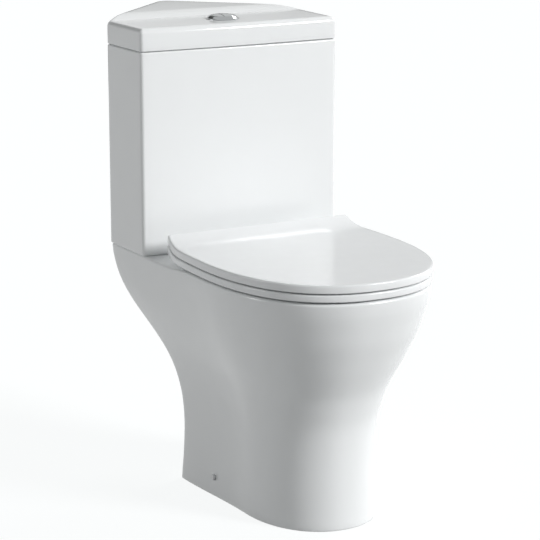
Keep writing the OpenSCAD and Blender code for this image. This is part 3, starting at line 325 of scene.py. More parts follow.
def blend_colours(tree, factor, a, b):
    """Mixes two colours, each given as numbers or as another node's output."""
    node = tree.nodes.new("ShaderNodeMix")
    node.data_type = "RGBA"
    for socket, colour in ((node.inputs["A"], a), (node.inputs["B"], b)):
        if isinstance(colour, tuple):
            socket.default_value = (*colour, 1.0)
        else:
            tree.links.new(colour, socket)
    tree.links.new(factor, node.inputs["Factor"])
    return [s for s in node.outputs if s.type == "RGBA"][0]


def mottle(tree, scale, detail, a, b):
    """Two colours in soft patches."""
    return blend_colours(tree, remap(tree, noise(tree, scale, detail), 0.0, 1.0), a, b)


def math_node(tree, operation, *values):
    """A math node fed with numbers and other nodes' outputs."""
    node = tree.nodes.new("ShaderNodeMath")
    node.operation = operation
    for socket, value in zip(node.inputs, values):
        if isinstance(value, float):
            socket.default_value = value
        else:
            tree.links.new(value, socket)
    return node.outputs[0]


def own_height(tree):
    """Z in the piece's own coordinates, in metres."""
    coords = tree.nodes.new("ShaderNodeTexCoord")
    split = tree.nodes.new("ShaderNodeSeparateXYZ")
    tree.links.new(coords.outputs["Object"], split.inputs["Vector"])
    return split.outputs["Z"]


def shade(tree, shader, colour, rough, layers):
    """Links colour, roughness and bump layers of (height, strength, distance in metres), coarse first."""
    tree.links.new(colour, shader.inputs["Base Color"])
    tree.links.new(rough, shader.inputs["Roughness"])
    previous = None
    for height, strength, distance in layers:
        node = tree.nodes.new("ShaderNodeBump")
        node.inputs["Strength"].default_value = strength
        node.inputs["Distance"].default_value = distance
        tree.links.new(height, node.inputs["Height"])
        if previous:
            tree.links.new(previous, node.inputs["Normal"])
        previous = node.outputs["Normal"]
    tree.links.new(previous, shader.inputs["Normal"])


WHITE_GLAZE = (0.86, 0.875, 0.88)
BISCUIT_DARK, BISCUIT_PALE = (0.72, 0.69, 0.63), (0.8, 0.78, 0.73)
BISCUIT_ROUGHER = 0.6
BARE_BELOW, GLAZED_ABOVE = 0.0004, 0.0012  # metres above the floor


def glaze(name, bare_foot=False):
    """Vitreous china: a deep even glaze with slow waves, and a bare foot ring where it stands."""
    mat, tree, shader = node_tree(name)
    deep = tuple(c * 0.985 for c in WHITE_GLAZE)
    body = mottle(tree, 7.0, 4.0, deep, WHITE_GLAZE)
    rough = remap(tree, noise(tree, 16.0, 3.0), 0.09, 0.13)
    if bare_foot:
        foot = remap(tree, own_height(tree), 1.0, 0.0, BARE_BELOW, GLAZED_ABOVE)
        body = blend_colours(tree, foot, body, mottle(tree, 900.0, 2.0, BISCUIT_DARK, BISCUIT_PALE))
        rough = math_node(tree, "MULTIPLY_ADD", foot, BISCUIT_ROUGHER, rough)
    shader.inputs["IOR"].default_value = 1.5
    waves, ripple = noise(tree, 9.0, 1.0), noise(tree, 140.0, 1.0)
    shade(tree, shader, body, rough, [(waves, 0.1, 0.0006), (ripple, 0.03, 0.0001)])
    return mat


def plastic(name, colour, rough, grain=600.0, grain_depth=0.05, variation=0.03):
    """Moulded plastic: slight flow marks in colour and gloss, fine grain in the surface."""
    mat, tree, shader = node_tree(name)
    low = tuple(c * (1 - variation) for c in colour)
    gloss = remap(tree, noise(tree, 45.0, 4.0), rough * 0.88, rough * 1.15)
    grains = [(noise(tree, grain, 2.0), grain_depth, 0.0003)]
    shade(tree, shader, mottle(tree, 11.0, 3.0, low, colour), gloss, grains)
    return mat


def rubber(name, colour, rough=0.75):
    """Soft rubber: dusty patches and a matt grain."""
    mat, tree, shader = node_tree(name)
    dusty = tuple(c * 1.25 + 0.02 for c in colour)
    gloss = remap(tree, noise(tree, 220.0, 3.0), rough - 0.08, rough + 0.08)
    grains = [(noise(tree, 900.0, 2.0), 0.25, 0.0002)]
    shade(tree, shader, mottle(tree, 60.0, 5.0, colour, dusty), gloss, grains)
    return mat


def metal(name, colour, rough, brushed=None):
    """Polished or brushed metal, with faint wiping marks."""
    mat, tree, shader = node_tree(name)
    shader.inputs["Metallic"].default_value = 1.0
    worn = tuple(c * 0.93 for c in colour)
    marks = noise(tree, 260.0, 4.0, 0.6, brushed) if brushed else noise(tree, 90.0, 5.0, 0.65)
    gloss = remap(tree, marks, rough * 0.75, rough * 1.5)
    scratches = [(noise(tree, 500.0, 3.0, 0.6, brushed), 0.05 if brushed else 0.015, 0.0001)]
    shade(tree, shader, mottle(tree, 40.0, 4.0, worn, colour), gloss, scratches)
    return mat


MATERIALS = {
    "ceramic": glaze("glazed_white"),
    "seat": plastic("seat_white", (0.86, 0.875, 0.882), 0.16, grain=350.0, grain_depth=0.02, variation=0.015),
    "buffer": rubber("buffer_grey", (0.42, 0.43, 0.44), 0.45),
    # The chrome's colour is set darker than real chrome: painted shade that stands in for dark surroundings
    # seen in its reflections.
    "chrome": metal("polished_chrome_painted_dark", (0.4, 0.41, 0.415), 0.06),
    "steel": metal("stainless", (0.55, 0.55, 0.56), 0.28, brushed=(1.0, 1.0, 8.0)),
    "dark_plastic": plastic("damper_dark", (0.035, 0.036, 0.04), 0.4),
    "black_rubber": rubber("seal_black", (0.02, 0.02, 0.022)),
    "red_rubber": rubber("seal_red", (0.42, 0.06, 0.04), 0.5),
    "white_plastic": plastic("valve_white", (0.78, 0.79, 0.8), 0.38),
    "blue_plastic": plastic("valve_blue", (0.1, 0.22, 0.4), 0.35),
}
pan_glaze = glaze("glazed_white_pan", bare_foot=True)
slot_of = {s["node"]: s["material_slot"] for s in frame["record"]["subparts"]}
for node_name, node in frame["nodes"].items():
    node.data.materials.clear()
    node.data.materials.append(MATERIALS[slot_of[node_name]])


def dress(piece, body, slot, *nodes, material=None):
    """Shades a piece, gives it its material, and lets it stand for CAD nodes."""
    finish_mesh(piece)
    piece.data.materials.clear()
    piece.data.materials.append(material or MATERIALS[slot])
    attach(piece, body)
    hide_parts(*nodes)


# ---------------------------------------------------------------------------- cistern
INSIDE_R = 4.0
LID_FACE_ROWS = 27


def plate_corners(inset):
    """The front, side and back corner of the cistern's plan, on its right half."""
    side = HALF_FRONT - inset / SPLAY_COS
    far = APEX_Y - inset * math.sqrt(2)
    y = (far - side) / (1 + SPLAY)
    return (side + inset * SPLAY, inset), (far - y, y), (0.0, far)


def home_plate(inset, smallest=1.0):
    """The cistern's five-sided plan with its bowed front, moved inwards by inset."""
    c0, c1, c2 = plate_corners(inset)

    def front(x):
        return x, inset - FRONT_BOW * (1 - (x / c0[0]) ** 2)

    front_reach, front_steps = c0[0] * 0.96, 20
    corners = [(FRONT_EDGE_R, front(c0[0] - 1), c0, c1), (SIDE_EDGE_R, c0, c1, c2)]
    arcs = [fillet(a, b, c, max(r - inset, smallest), 8) for r, a, b, c in corners]
    back = half_back(c1, c2, max(BACK_EDGE_R - inset, smallest), 20)
    right = [front(front_reach * k / front_steps) for k in range(front_steps)]
    right += arcs[0] + segment(arcs[0][-1], arcs[1][0], 12) + arcs[1]
    right += segment(arcs[1][-1], back[0], 22) + back
    return mirrored(right)


def shared_holes(z, height, inlet_r, valve_r=None):
    """Cutters for the holes that the tank's floor and the deck share."""
    tools = [rod("cut", (s * COUPLING_X, FLUSH_Y, z), COUPLING_HOLE_R, height) for s in (-1, 1)]
    tools.append(rod("cut", (INLET_X, INLET_Y, z), inlet_r, height))
    if valve_r:
        tools.append(rod("cut", (0.0, FLUSH_Y, z), valve_r, height))
    return tools


def make_tank():
    foot, lip, bevel, cove = 3.0, 2.6, 1.5, 8.0
    # The edge below, the outside and the lip, then the inside down to the floor.
    rings = [at_z(home_plate(foot + 6), DECK)]
    rings += [at_z(home_plate(foot * (1 - s)), DECK + foot * (1 - c)) for s, c in quarter(6)]
    rings += [at_z(home_plate(0), lerp(DECK + foot, TANK_TOP - lip, t)) for t in (0.25, 0.5, 0.75)]
    rings += [at_z(home_plate(lip * (1 - c)), TANK_TOP - lip * (1 - s)) for s, c in quarter(6)]
    rings += [at_z(home_plate(TANK_WALL - bevel), TANK_TOP)]
    rings += [at_z(home_plate(TANK_WALL, INSIDE_R), TANK_TOP - bevel)]
    rings += [at_z(home_plate(TANK_WALL, INSIDE_R), lerp(TANK_TOP, TANK_INSIDE, t)) for t in (0.3, 0.6, 0.9)]
    for s, c in quarter(6):
        rings.append(at_z(home_plate(TANK_WALL + cove * (1 - c), INSIDE_R), TANK_INSIDE + cove * (1 - s)))
    rings += [at_z(home_plate(TANK_WALL + cove + 12, INSIDE_R), TANK_INSIDE)]
    tank = skin("tank", rings, (0, CREASE_Y, DECK), (0, CREASE_Y, TANK_INSIDE))
    carve(tank, shared_holes(DECK - 1, TANK_FLOOR + 2, INLET_HOLE_R, VALVE_HOLE_R), "DIFFERENCE")
    dress(tank, "pan_and_cistern", "ceramic", "cistern")


def lid_level(y):
    """Height of the cistern lid's top: level in front, then a crease and a soft rise."""
    t = clamp01((y - CREASE_Y) / LID_STEP_RUN)
    return LID_LOW + LID_STEP * (1 - (1 - t) ** 2)


def make_cistern_lid():
    rib_out = TANK_WALL + LID_RIB_GAP
    rib_in = rib_out + LID_RIB
    rib_low = TANK_TOP - LID_RIB_DEPTH
    groove, low_r = 1.5, 1.4
    underside = [  # inset, smallest rounding, height, from the middle outwards
        (rib_in + 14, INSIDE_R, LID_INSIDE),
        (rib_in + 6, INSIDE_R, LID_INSIDE - 0.8),
        (rib_in + 2.5, INSIDE_R, LID_INSIDE - 3),
        (rib_in, INSIDE_R, LID_INSIDE - 9),
        (rib_in, INSIDE_R, rib_low + 1),
        (rib_in - 1, INSIDE_R, rib_low),
        (rib_out + 1, 3, rib_low),
        (rib_out, 3, rib_low + 1),
        (rib_out, 3, TANK_TOP),
        (6.5, 2, TANK_TOP),
        (6.0, 2, TANK_TOP + 0.4),
        (6.0, 2, TANK_TOP + 1.1),
        (1.6, 1, TANK_TOP + 1.4),
    ]
    rings = [at_z(home_plate(inset, smallest), z) for inset, smallest, z in underside]
    # The lower edge above the groove, the side, the upper edge and the face.
    rings += [at_z(home_plate(low_r * (1 - s)), TANK_TOP + groove + low_r * (1 - c)) for s, c in quarter(3)]
    rings += [at_z(home_plate(0), TANK_TOP + 14)]
    rings += [on(home_plate(LID_EDGE_R * (1 - c)), lid_level, -LID_EDGE_R * (1 - s)) for s, c in quarter(9)]
    middle, face = (0.0, CREASE_Y), home_plate(LID_EDGE_R)
    for k in range(1, LID_FACE_ROWS):
        rings.append(on([mix2(middle, p, 1 - k / LID_FACE_ROWS) for p in face], lid_level))
    lid = skin("cistern_cover", rings, (*middle, LID_INSIDE), (*middle, lid_level(CREASE_Y)))
    hole = rod("cut", (0, FLUSH_Y, LID_INSIDE - 1), BEZEL_HOLE_R, LID_PLATE + 12)
    carve(lid, [hole], "DIFFERENCE")
    dress(lid, "lid_of_cistern", "ceramic", "cistern_lid")


# ---------------------------------------------------------------------------- pan
# Height, then how far the back and the front have come from the pedestal (0) to the rim (1).
PAN_ROWS = [
    (0, 0.04, 0), (60, 0.006, -0.013), (110, -0.002, -0.024), (150, 0.025, -0.008),
    (175, 0.068, 0.03), (200, 0.135, 0.115), (225, 0.237, 0.215), (250, 0.375, 0.365),
    (275, 0.537, 0.52), (300, 0.698, 0.655), (325, 0.831, 0.782), (350, 0.922, 0.872),
    (375, 0.977, 0.955), (396, 1, 1),
]
# Depth below the rim, then the bowl's width and length as shares of the opening, and its shift backwards.
BOWL_ROWS = [
    (0, 1, 1, 0), (28, 0.955, 0.965, 1), (50, 0.92, 0.935, 3), (80, 0.87, 0.9, 7),
    (140, 0.71, 0.76, 20), (200, 0.53, 0.59, 37), (250, 0.4, 0.43, 53), (285, 0.345, 0.345, 60),
    (310, 0.28, 0.27, 62), (323, 0.15, 0.14, 63),
]
SHELF_CORNER = plate_corners(SHELF_INSET)[1]
RIM_SHOULDER, FOOT_SHOULDER = 200.0, 215.0
RIM_FULLNESS, FOOT_FULLNESS = 2.37, 2.15
FOOT_EDGE_R = 7.0
SLOPE_BACK, SLOPE_FRONT = 88.0, 150.0
BACK_WALL = PAN_WALL * 1.25
RAY_MID = 250.0
BOWL_MID = BOWL_BACK + BOWL_LENGTH / 2
LIP_R = 4.0
HOLLOW_FRONT, HOLLOW_TURN, HOLLOW_SPAN = 322.0, 36.0, 22.0
ARCH_R, ARCH_TOP, ARCH_FRONT, ARCH_BACK = 84.0, 290.0, -60.0, 350.0
DUCT_R, DUCT_WALL, WELL_R, BOSS_R = 19.0, 8.0, 26.0, 55.0
RECESS_R, RECESS_DEPTH = 47.0, 30.0
SCREW_X, SCREW_Y, SCREW_Z, SCREW_HOLE_R = 113.45, -116.0, 34.0, 3.5
TRAP_Y, TRAP_CLIMB, TRAP_RISE, TRAP_FALL = -162.0, 75.0, 46.0, 60.0


def nose(half_width, reach, shoulder, fullness, steps):
    """The right half of a rounded front, from its tip towards the shoulder."""
    points = []
    for k in range(steps):
        t = math.radians(90 * k / steps)
        x = half_width * math.sin(t) ** (2 / fullness)
        points.append((x, -shoulder - (reach - shoulder) * math.cos(t) ** (2 / fullness)))
    return points


def pan_outline(z, inset, back_inset=None):
    """The pan's plan at height z, moved inwards by inset, and at the back by back_inset."""
    back, front = curve(PAN_ROWS, 1, z), curve(PAN_ROWS, 2, z)
    half_width = lerp(PEDESTAL_WIDTH, RIM_WIDTH, front) / 2 - inset
    reach = lerp(PEDESTAL_REACH, RIM_REACH, front) - inset
    shoulder = lerp(FOOT_SHOULDER, RIM_SHOULDER, front)
    fullness = lerp(FOOT_FULLNESS, RIM_FULLNESS, front)
    if back_inset is None:
        back_inset = inset * (math.sqrt(2) - 1)
    corner = (
        lerp(FOOT_WIDTH / 2, SHELF_CORNER[0], back) - inset,
        lerp(-FOOT_BACK, SHELF_CORNER[1], back) - back_inset,
    )
    tip = (0.0, corner[1] + corner[0] * max(back, 0.004) ** 0.8)

    def side(t):
        return lerp(half_width, corner[0], ease(t)), lerp(-shoulder, corner[1], t)

    edge_r = lerp(FOOT_EDGE_R, SIDE_EDGE_R, clamp01(back))
    round_side = fillet(side(0.97), corner, tip, edge_r, 8)
    round_back = half_back(corner, tip, BACK_EDGE_R, 16)
    right = nose(half_width, reach, shoulder, fullness, 44)
    right += [side(k / 30) for k in range(29)]
    right += round_side + segment(round_side[-1], round_back[0], 18) + round_back
    return mirrored(right)


def pan_top(y):
    """Height of the pan's top: the rim in front, then a slope down to the deck."""
    return RIM_HEIGHT - DECK_DROP * ease((y + SLOPE_FRONT) / (SLOPE_FRONT - SLOPE_BACK))


RAYS = [Vector((x, y + RAY_MID)).normalized() for x, y in pan_outline(DECK, 0)]


def bowl_point(j, depth, grow):
    """The point of the bowl's wall on ray j, moved outwards by grow."""
    ax = BOWL_WIDTH / 2 * curve(BOWL_ROWS, 1, depth) + grow
    ay = BOWL_LENGTH / 2 * curve(BOWL_ROWS, 2, depth) + grow
    return ax * RAYS[j].x, curve(BOWL_ROWS, 3, depth) - BOWL_MID + ay * RAYS[j].y


def bowl_ring(depth, grow):
    """A row of the bowl's wall."""
    return [(*bowl_point(j, depth, grow), RIM_HEIGHT - depth) for j in range(len(RAYS))]


def hollow_top(j):
    """Height of the hollow's ceiling on ray j: under the deck at the back, lower towards the front."""
    angle = math.degrees(math.acos(max(-1.0, min(1.0, RAYS[j].y))))
    return lerp(DECK_UNDER, HOLLOW_FRONT, ease((angle - HOLLOW_TURN) / HOLLOW_SPAN))


def hollow_ring(share):
    """A row of the hollow's wall, from the floor (0) to its ceiling (1)."""
    outlines = {}
    ring = []
    for j in range(len(RAYS)):
        z = share * hollow_top(j)
        if z not in outlines:
            outlines[z] = pan_outline(z, PAN_WALL, BACK_WALL)
        ring.append((*outlines[z][j], z))
    return ring


def deck_ring(share):
    """A row of the top face, from its outer edge (0) towards the bowl (1)."""
    points = []
    for j, p in enumerate(pan_outline(DECK, PAN_EDGE_R)):
        q = bowl_point(j, 0, LIP_R)
        level = (p[1] + SLOPE_BACK) / (p[1] - q[1]) if p[1] > -SLOPE_BACK else 0.1
        points.append(mix2(p, q, lerp(level, 1, share)))
    return on(points, pan_top)


def bend(start, turn, steps):
    """A bend of the trap from start, which is (y, z, heading in degrees), by turn degrees."""
    y, z, h = start
    s = math.copysign(TRAP_BEND_R, turn)
    points = []
    for k in range(1, steps + 1):
        heading = h + turn * k / steps
        a, b = math.radians(heading), math.radians(h)
        points.append((y + s * (math.sin(a) - math.sin(b)), z + s * (math.cos(b) - math.cos(a)), heading))
    return points


def trap_line():
    """The trap's centre line: up behind the sump, over the top, and down to the spigot."""
    up = bend((0.0, 0.0, 0.0), TRAP_CLIMB, 16)
    y, z, h = up[-1]
    climbed = (y + TRAP_RISE / math.tan(math.radians(TRAP_CLIMB)), z + TRAP_RISE, h)
    over = bend(climbed, -TRAP_CLIMB - TRAP_FALL, 30)
    down = bend(over[-1], TRAP_FALL, 14)
    line = [(0.0, 0.0, 0.0), *up, climbed, *over, *down]
    rise = line[-1][1]
    return [(y + TRAP_Y, z + OUTLET_HEIGHT - rise, h) for y, z, h in line]


TRAP = trap_line()


def trap_tube(name, r, from_y, to_y, reach):
    """A tube along the trap, whose first ring leans forward into the bowl by reach."""
    low = TRAP[0][1]
    line = ([(from_y, low, 0.0)] if from_y < TRAP[0][0] else []) + TRAP + [(to_y, OUTLET_HEIGHT, 0.0)]
    rings = []
    for k, (y, z, h) in enumerate(line):
        ch, sh = math.cos(math.radians(h)), math.sin(math.radians(h))
        lean = -reach if k == 0 else 0.0
        ring = []
        for a in turns(64):
            up = r * math.sin(a)
            shift = lean * (1 - max(math.sin(a), 0.0) ** 2)
            ring.append((-r * math.cos(a), y - up * sh + shift, z + up * ch))
        rings.append(ring)
    return skin(name, rings, (0, from_y, low), (0, to_y, OUTLET_HEIGHT))


def pan_body():
    """The pan without its flush duct, trap and holes, from the sump's underside round to the sump."""
    count = len(RAYS)
    low_z = SUMP_FLOOR - BOWL_WALL
    middle = BOWL_ROWS[-1][3] - BOWL_MID
    # The bowl's outside, and the hollow pedestal around it.
    rings = [[(x, y, low_z) for x, y, z in bowl_ring(310, BOWL_WALL)]]
    rings += [bowl_ring(d, BOWL_WALL) for d in (300, 285, 268, 250, 225, 200, 170, 140, 115, 95)]
    ceiling = [hollow_top(j) for j in range(count)]
    rings += [[(*bowl_point(j, RIM_HEIGHT - ceiling[j], BOWL_WALL), ceiling[j]) for j in range(count)]]
    shares = (1, 0.96, 0.92, 0.87, 0.82, 0.76, 0.7, 0.62, 0.54, 0.45, 0.36, 0.24, 0.12, 0)
    rings += [hollow_ring(share) for share in shares]
    # The foot's soft edge, and the outside.
    rings += [at_z(pan_outline(z, inset), z) for z, inset in ((0, 2.5), (0.4, 1.2), (1.4, 0.35))]
    rings += [at_z(pan_outline(z, 0), z) for z in (3, 12, 24, *range(36, 384, 8))]
    # The rounded outer edge, the top face, and the bowl's lip.
    for s, c in quarter(6):
        drop = PAN_EDGE_R * (1 - s)
        rings.append(on(pan_outline(DECK - drop, PAN_EDGE_R * (1 - c)), pan_top, -drop))
    rings += [deck_ring(share) for share in (0, 0.12, 0.25, 0.4, 0.55, 0.7, 0.85)]
    for s, c in reversed(quarter(6)):
        lip = [bowl_point(j, 0, LIP_R * (1 - c)) for j in range(count)]
        rings.append(on(lip, pan_top, -LIP_R * (1 - s)))
    # The bowl.
    rings += [bowl_ring(d, 0) for d in (*range(16, 300, 12), 304, 310, 316, 320, 323)]
    return skin("pan_body", rings, (0, middle, low_z), (0, middle, SUMP_FLOOR))


def arch_cutter():
    """The open back of the pedestal: straight sides under a half circle."""
    spring, inside_z = ARCH_TOP - ARCH_R, 100.0
    arch = [(-ARCH_R, -1.0), (ARCH_R, -1.0)]
    for degrees in range(0, 181, 5):
        a = math.radians(degrees)
        arch.append((ARCH_R * math.cos(a), spring + ARCH_R * math.sin(a)))
    rings = [[(-x, y, z) for x, z in arch] for y in (ARCH_FRONT, ARCH_BACK)]
    return skin("cut", rings, (0, ARCH_FRONT, inside_z), (0, ARCH_BACK, inside_z))


def make_pan():
    pan = pan_body()
    carve(pan, [arch_cutter()], "DIFFERENCE")
    duct_z = DECK - RECESS_DEPTH - DUCT_R - 2
    duct_outer_r = DUCT_R + DUCT_WALL
    boss_z = duct_z - duct_outer_r
    trap_y, spigot_y = TRAP[0][0], TRAP[-1][0]
    spigot = (0, spigot_y, OUTLET_HEIGHT)
    adds = [
        trap_tube("add", TRAP_BORE / 2 + TRAP_WALL, trap_y, spigot_y + 10, reach=25.0),
        rod("add", spigot, OUTLET_OD / 2, OUTLET_LENGTH, "Y", steps=96, round_r=1.5),
        rod("add", (0, 2 - BOWL_BACK, duct_z), duct_outer_r, FLUSH_Y + BOWL_BACK - 2, "Y"),
        rod("add", (0, FLUSH_Y, boss_z), BOSS_R, DECK_UNDER + 1 - boss_z),
    ]
    carve(pan, adds, "UNION")
    cuts = [
        trap_tube("cut", TRAP_BORE / 2, trap_y - 50, spigot_y + OUTLET_LENGTH + 1, reach=0.0),
        rod("cut", (0, -BOWL_BACK - 16, duct_z), DUCT_R, FLUSH_Y + BOWL_BACK + 16, "Y"),
        rod("cut", (0, FLUSH_Y, duct_z), WELL_R, DECK - duct_z),
        rod("cut", (0, FLUSH_Y, DECK - RECESS_DEPTH), RECESS_R, RECESS_DEPTH + 1),
    ]
    inwards, outwards = 25.0, 18.0
    for x in (SCREW_X - inwards, -SCREW_X - outwards):
        cuts.append(rod("cut", (x, SCREW_Y, SCREW_Z), SCREW_HOLE_R, inwards + outwards, "X", steps=32))
    for x in (-HINGE_X, HINGE_X):
        cuts.append(rod("cut", (x, -HINGE_Y, DECK_UNDER - 1), SEAT_BOLT_HOLE_R, DECK_PLATE + 2))
    cuts += shared_holes(DECK_UNDER - 1, DECK_PLATE + 2, INLET_WELL_R)
    carve(pan, cuts, "DIFFERENCE")
    dress(pan, "pan_and_cistern", "ceramic", "pan", material=pan_glaze)


# ---------------------------------------------------------------------------- seat
SEAT_SHOULDER, SEAT_FULLNESS, SEAT_NARROWING = 200.0, 2.37, 11.3
SEAT_CORNER_R, SEAT_CORNER_RUN = 4.0, 12.0
SWEEP_START, SWEEP_END = 125.0, 64.0
HOLE_FULLNESS = 2.2
HOLE_MID = RING_HOLE_BACK + RING_HOLE_LENGTH / 2
KNUCKLE_EDGE_R, PIN_BORE_R = 0.8, 6.02
GAP_OPENING = 1.6  # how much the gap between ring and lid widens towards the back
# Where the rows along the seat's side lie, closer together towards the back.
SIDE_ROWS = [
    -200, -185, -170, -157, -145, -135, -127, -120, -114,
    -108, -102, -97, -92, -88, -84, -81, -78, -76,
]


def seat_outline(inset, back_gap):
    """The seat's plan moved inwards by inset, with a straight back at back_gap from the cistern."""
    half_width = SEAT_WIDTH / 2 - inset
    back = -back_gap - inset

    def side(y):
        return half_width - SEAT_NARROWING * ((y + SEAT_SHOULDER) / (SEAT_SHOULDER - back_gap)) ** 2.5

    first, last = SIDE_ROWS[0], back - SEAT_CORNER_RUN
    stretch = (last - first) / (SIDE_ROWS[-1] - first)
    right = nose(half_width, SEAT_REACH - inset, SEAT_SHOULDER, SEAT_FULLNESS, 48)
    right += [(side(y), y) for y in (first + (row - first) * stretch for row in SIDE_ROWS)]
    rounded = fillet((side(last), last), (side(back), back), (0, back), SEAT_CORNER_R, 8)
    right += rounded + segment(rounded[-1], (0, back), 16) + [(0.0, back)]
    return mirrored(right)


def sweep(y, power):
    """0 along the seat, rising to 1 at its back, later and faster with a higher power."""
    return clamp01((y + SWEEP_START) / (SWEEP_START - SWEEP_END)) ** power


def ring_base(y):
    """Height of the ring's underside, which like the next three faces curves up at the back."""
    return RING_BOTTOM + RING_SWEEP * sweep(y, 5)


def ring_face(y):
    return RING_TOP + GAP_SWEEP * sweep(y, 4)


def lid_base(y):
    return SEAT_LID_BOTTOM + (GAP_SWEEP + GAP_OPENING) * sweep(y, 4)


def lid_crown(y):
    return SEAT_LID_TOP + LID_SWEEP * sweep(y, 2.8)


def ring_hole(grow, outline):
    """The opening of the seat ring, grown, with one point for each point of an outline."""
    points = []
    for x, y in outline:
        d = Vector((x, y + HOLE_MID)).normalized()
        k = (abs(d.x) ** HOLE_FULLNESS + abs(d.y) ** HOLE_FULLNESS) ** (1 / HOLE_FULLNESS)
        half_x, half_y = RING_HOLE_WIDTH / 2 + grow, RING_HOLE_LENGTH / 2 + grow
        points.append((half_x * d.x / k, half_y * d.y / k - HOLE_MID))
    return points


def hinge_rods(name, starts, r, length, round_r=0.0):
    """Cylinders on the hinge axis."""
    return [rod(name, (x, -HINGE_Y, HINGE_Z), r, length, "X", round_r=round_r) for x in starts]


def make_ring():
    def outer(inset, tuck=0.0):
        return seat_outline(inset, SEAT_BACK_GAP - RING_BACK_EXTRA + tuck)

    edge, edge_r, face_r, under_r = outer(1), 2.5, 5.0, 3.0
    # The outer edge from below, the face inwards, the hole downwards, and the underside outwards.
    rings = []
    for s, c in quarter():
        rings.append(on(outer(1 + edge_r * (1 - s), 1 + 4 * (1 - s)), ring_base, edge_r * (1 - c)))
    for tuck, share in ((0.2, 0.38), (0.0, 0.5), (0.3, 0.62)):
        rings.append([(x, y, lerp(ring_base(y), ring_face(y), share)) for x, y in outer(1, tuck)])
    for s, c in quarter():
        rings.append(on(outer(1 + edge_r * (1 - c), 1 + 3 * (1 - c)), ring_face, -edge_r * (1 - s)))
    face, face_hole = outer(1 + edge_r, 4), ring_hole(face_r, edge)
    rings += [on(between(face, face_hole, t), ring_face) for t in (0.06, 0.14, 0.25, 0.4, 0.55, 0.7, 0.85)]
    rings += [on(ring_hole(face_r * (1 - s), edge), ring_face, -face_r * (1 - c)) for s, c in quarter(6)]
    rings += [on(ring_hole(under_r * (1 - c), edge), ring_base, under_r * (1 - s)) for s, c in quarter(4)]
    under_hole, under = ring_hole(under_r, edge), outer(1 + edge_r, 5)
    rings += [on(between(under_hole, under, t), ring_base) for t in (0.2, 0.4, 0.55, 0.7, 0.82, 0.92)]
    ring = skin("seat_ring_body", rings)
    # Notches for the lid's knuckles, then the ring's own knuckles and their bores.
    low, high = (-HINGE_Y - 12, HINGE_Z - 17), (-HINGE_Y + 28, HINGE_Z + 43)
    notches = []
    for s in (-1, 1):
        x0, x1 = sorted((s * (LID_KNUCKLE_X - 0.8), s * (RING_KNUCKLE_X - 0.4)))
        notches.append(block("cut", (x0, *low), (x1, *high)))
    carve(ring, notches, "DIFFERENCE")
    left = -RING_KNUCKLE_X - KNUCKLE_LENGTH
    knuckles = hinge_rods("add", (RING_KNUCKLE_X, left), KNUCKLE_R, KNUCKLE_LENGTH, KNUCKLE_EDGE_R)
    carve(ring, knuckles, "UNION")
    bores = hinge_rods("cut", (RING_KNUCKLE_X - 1, left + 2), PIN_BORE_R, KNUCKLE_LENGTH - 1)
    carve(ring, bores, "DIFFERENCE")
    dress(ring, "ring", "seat", "seat_ring")


def make_seat_lid():
    margin, shell, low_r, top_r = 22.0, 6.5, 2.0, 3.0
    middle = (0.0, -HOLE_MID)
    shares = [0.985, 0.97, 0.95, 0.93, 0.91, 0.89, 0.87, 0.85, 0.83, 0.81, 0.79]
    shares += [0.76, 0.72, 0.66, 0.58, 0.48, 0.36, 0.2]

    def outer(inset, tuck=0.0):
        return seat_outline(inset, SEAT_BACK_GAP + tuck)

    def inward(inset, share):
        return [mix2(middle, p, share) for p in outer(inset, 2.6)]

    def roof(y):
        return lid_crown(y) - shell

    # The hollow's roof outwards, its side and the rim below, the outer edge, and the top inwards.
    rings = [on(inward(margin + 3, share), roof) for share in reversed([1.0, *shares])]
    for inset, rise in ((margin, 2.0), (margin - 0.6, 0.6), (margin - 1.5, 0.0), (12, 0.0), (5, 0.0)):
        rings.append(on(outer(inset), lid_base, rise))
    rings += [on(outer(low_r * (1 - s)), lid_base, low_r * (1 - c)) for s, c in quarter()]
    rings += [on(outer(0, 0.1), lambda y: (lid_base(y) + lid_crown(y)) / 2)]
    for s, c in quarter():
        rings.append(on(outer(top_r * (1 - c), 0.6 + 2 * (1 - c)), lid_crown, -top_r * (1 - s)))
    rings += [on(inward(top_r, share), lid_crown) for share in shares]
    lid = skin("seat_lid_body", rings, (*middle, roof(middle[1])), (*middle, lid_crown(middle[1])))
    # Knuckles, each with a web up to the lid, and their bores.
    left = -LID_KNUCKLE_X - KNUCKLE_LENGTH
    web_back, web_top = -HINGE_Y - 2.5, lid_base(-HINGE_Y) + 2
    adds = []
    for x in (left, LID_KNUCKLE_X):
        adds += hinge_rods("add", [x], KNUCKLE_R, KNUCKLE_LENGTH, KNUCKLE_EDGE_R)
        adds.append(block("add", (x, -HINGE_Y - KNUCKLE_R, HINGE_Z), (x + KNUCKLE_LENGTH, web_back, web_top)))
    carve(lid, adds, "UNION")
    bores = hinge_rods("cut", (LID_KNUCKLE_X + 2, left - 1), PIN_BORE_R, KNUCKLE_LENGTH - 1)
    carve(lid, bores, "DIFFERENCE")
    dress(lid, "lid_of_seat", "seat", "seat_lid")


# ---------------------------------------------------------------------------- push plate
BEZEL_R, NECK_R, LEDGE_R, BUTTON_R = 28.5, 22.0, 16.0, 19.6
BEZEL_RISE, NECK_DEPTH, LEDGE, BUTTON_DEPTH = 6.0, 28.0, 3.0, 11.7
BUTTON_PROUD, BUTTON_DOME, BUTTON_SPLIT, BUTTON_SLIT = 2.4, 2.2, -6.0, 0.8
BUTTON_TOP = LID_LOW + BEZEL_RISE + BUTTON_PROUD
# The bezel's profile above the lid: inset from its edge and height.
BEZEL_ROWS = [
    (0.5, 0.0), (0.1, 0.3), (0.1, 0.7), (0.5, 1.05), (1.3, 1.2), (2.1, 1.5),
    (3.0, 2.3), (5.8, 5.1), (6.6, 5.75), (7.4, BEZEL_RISE),
]


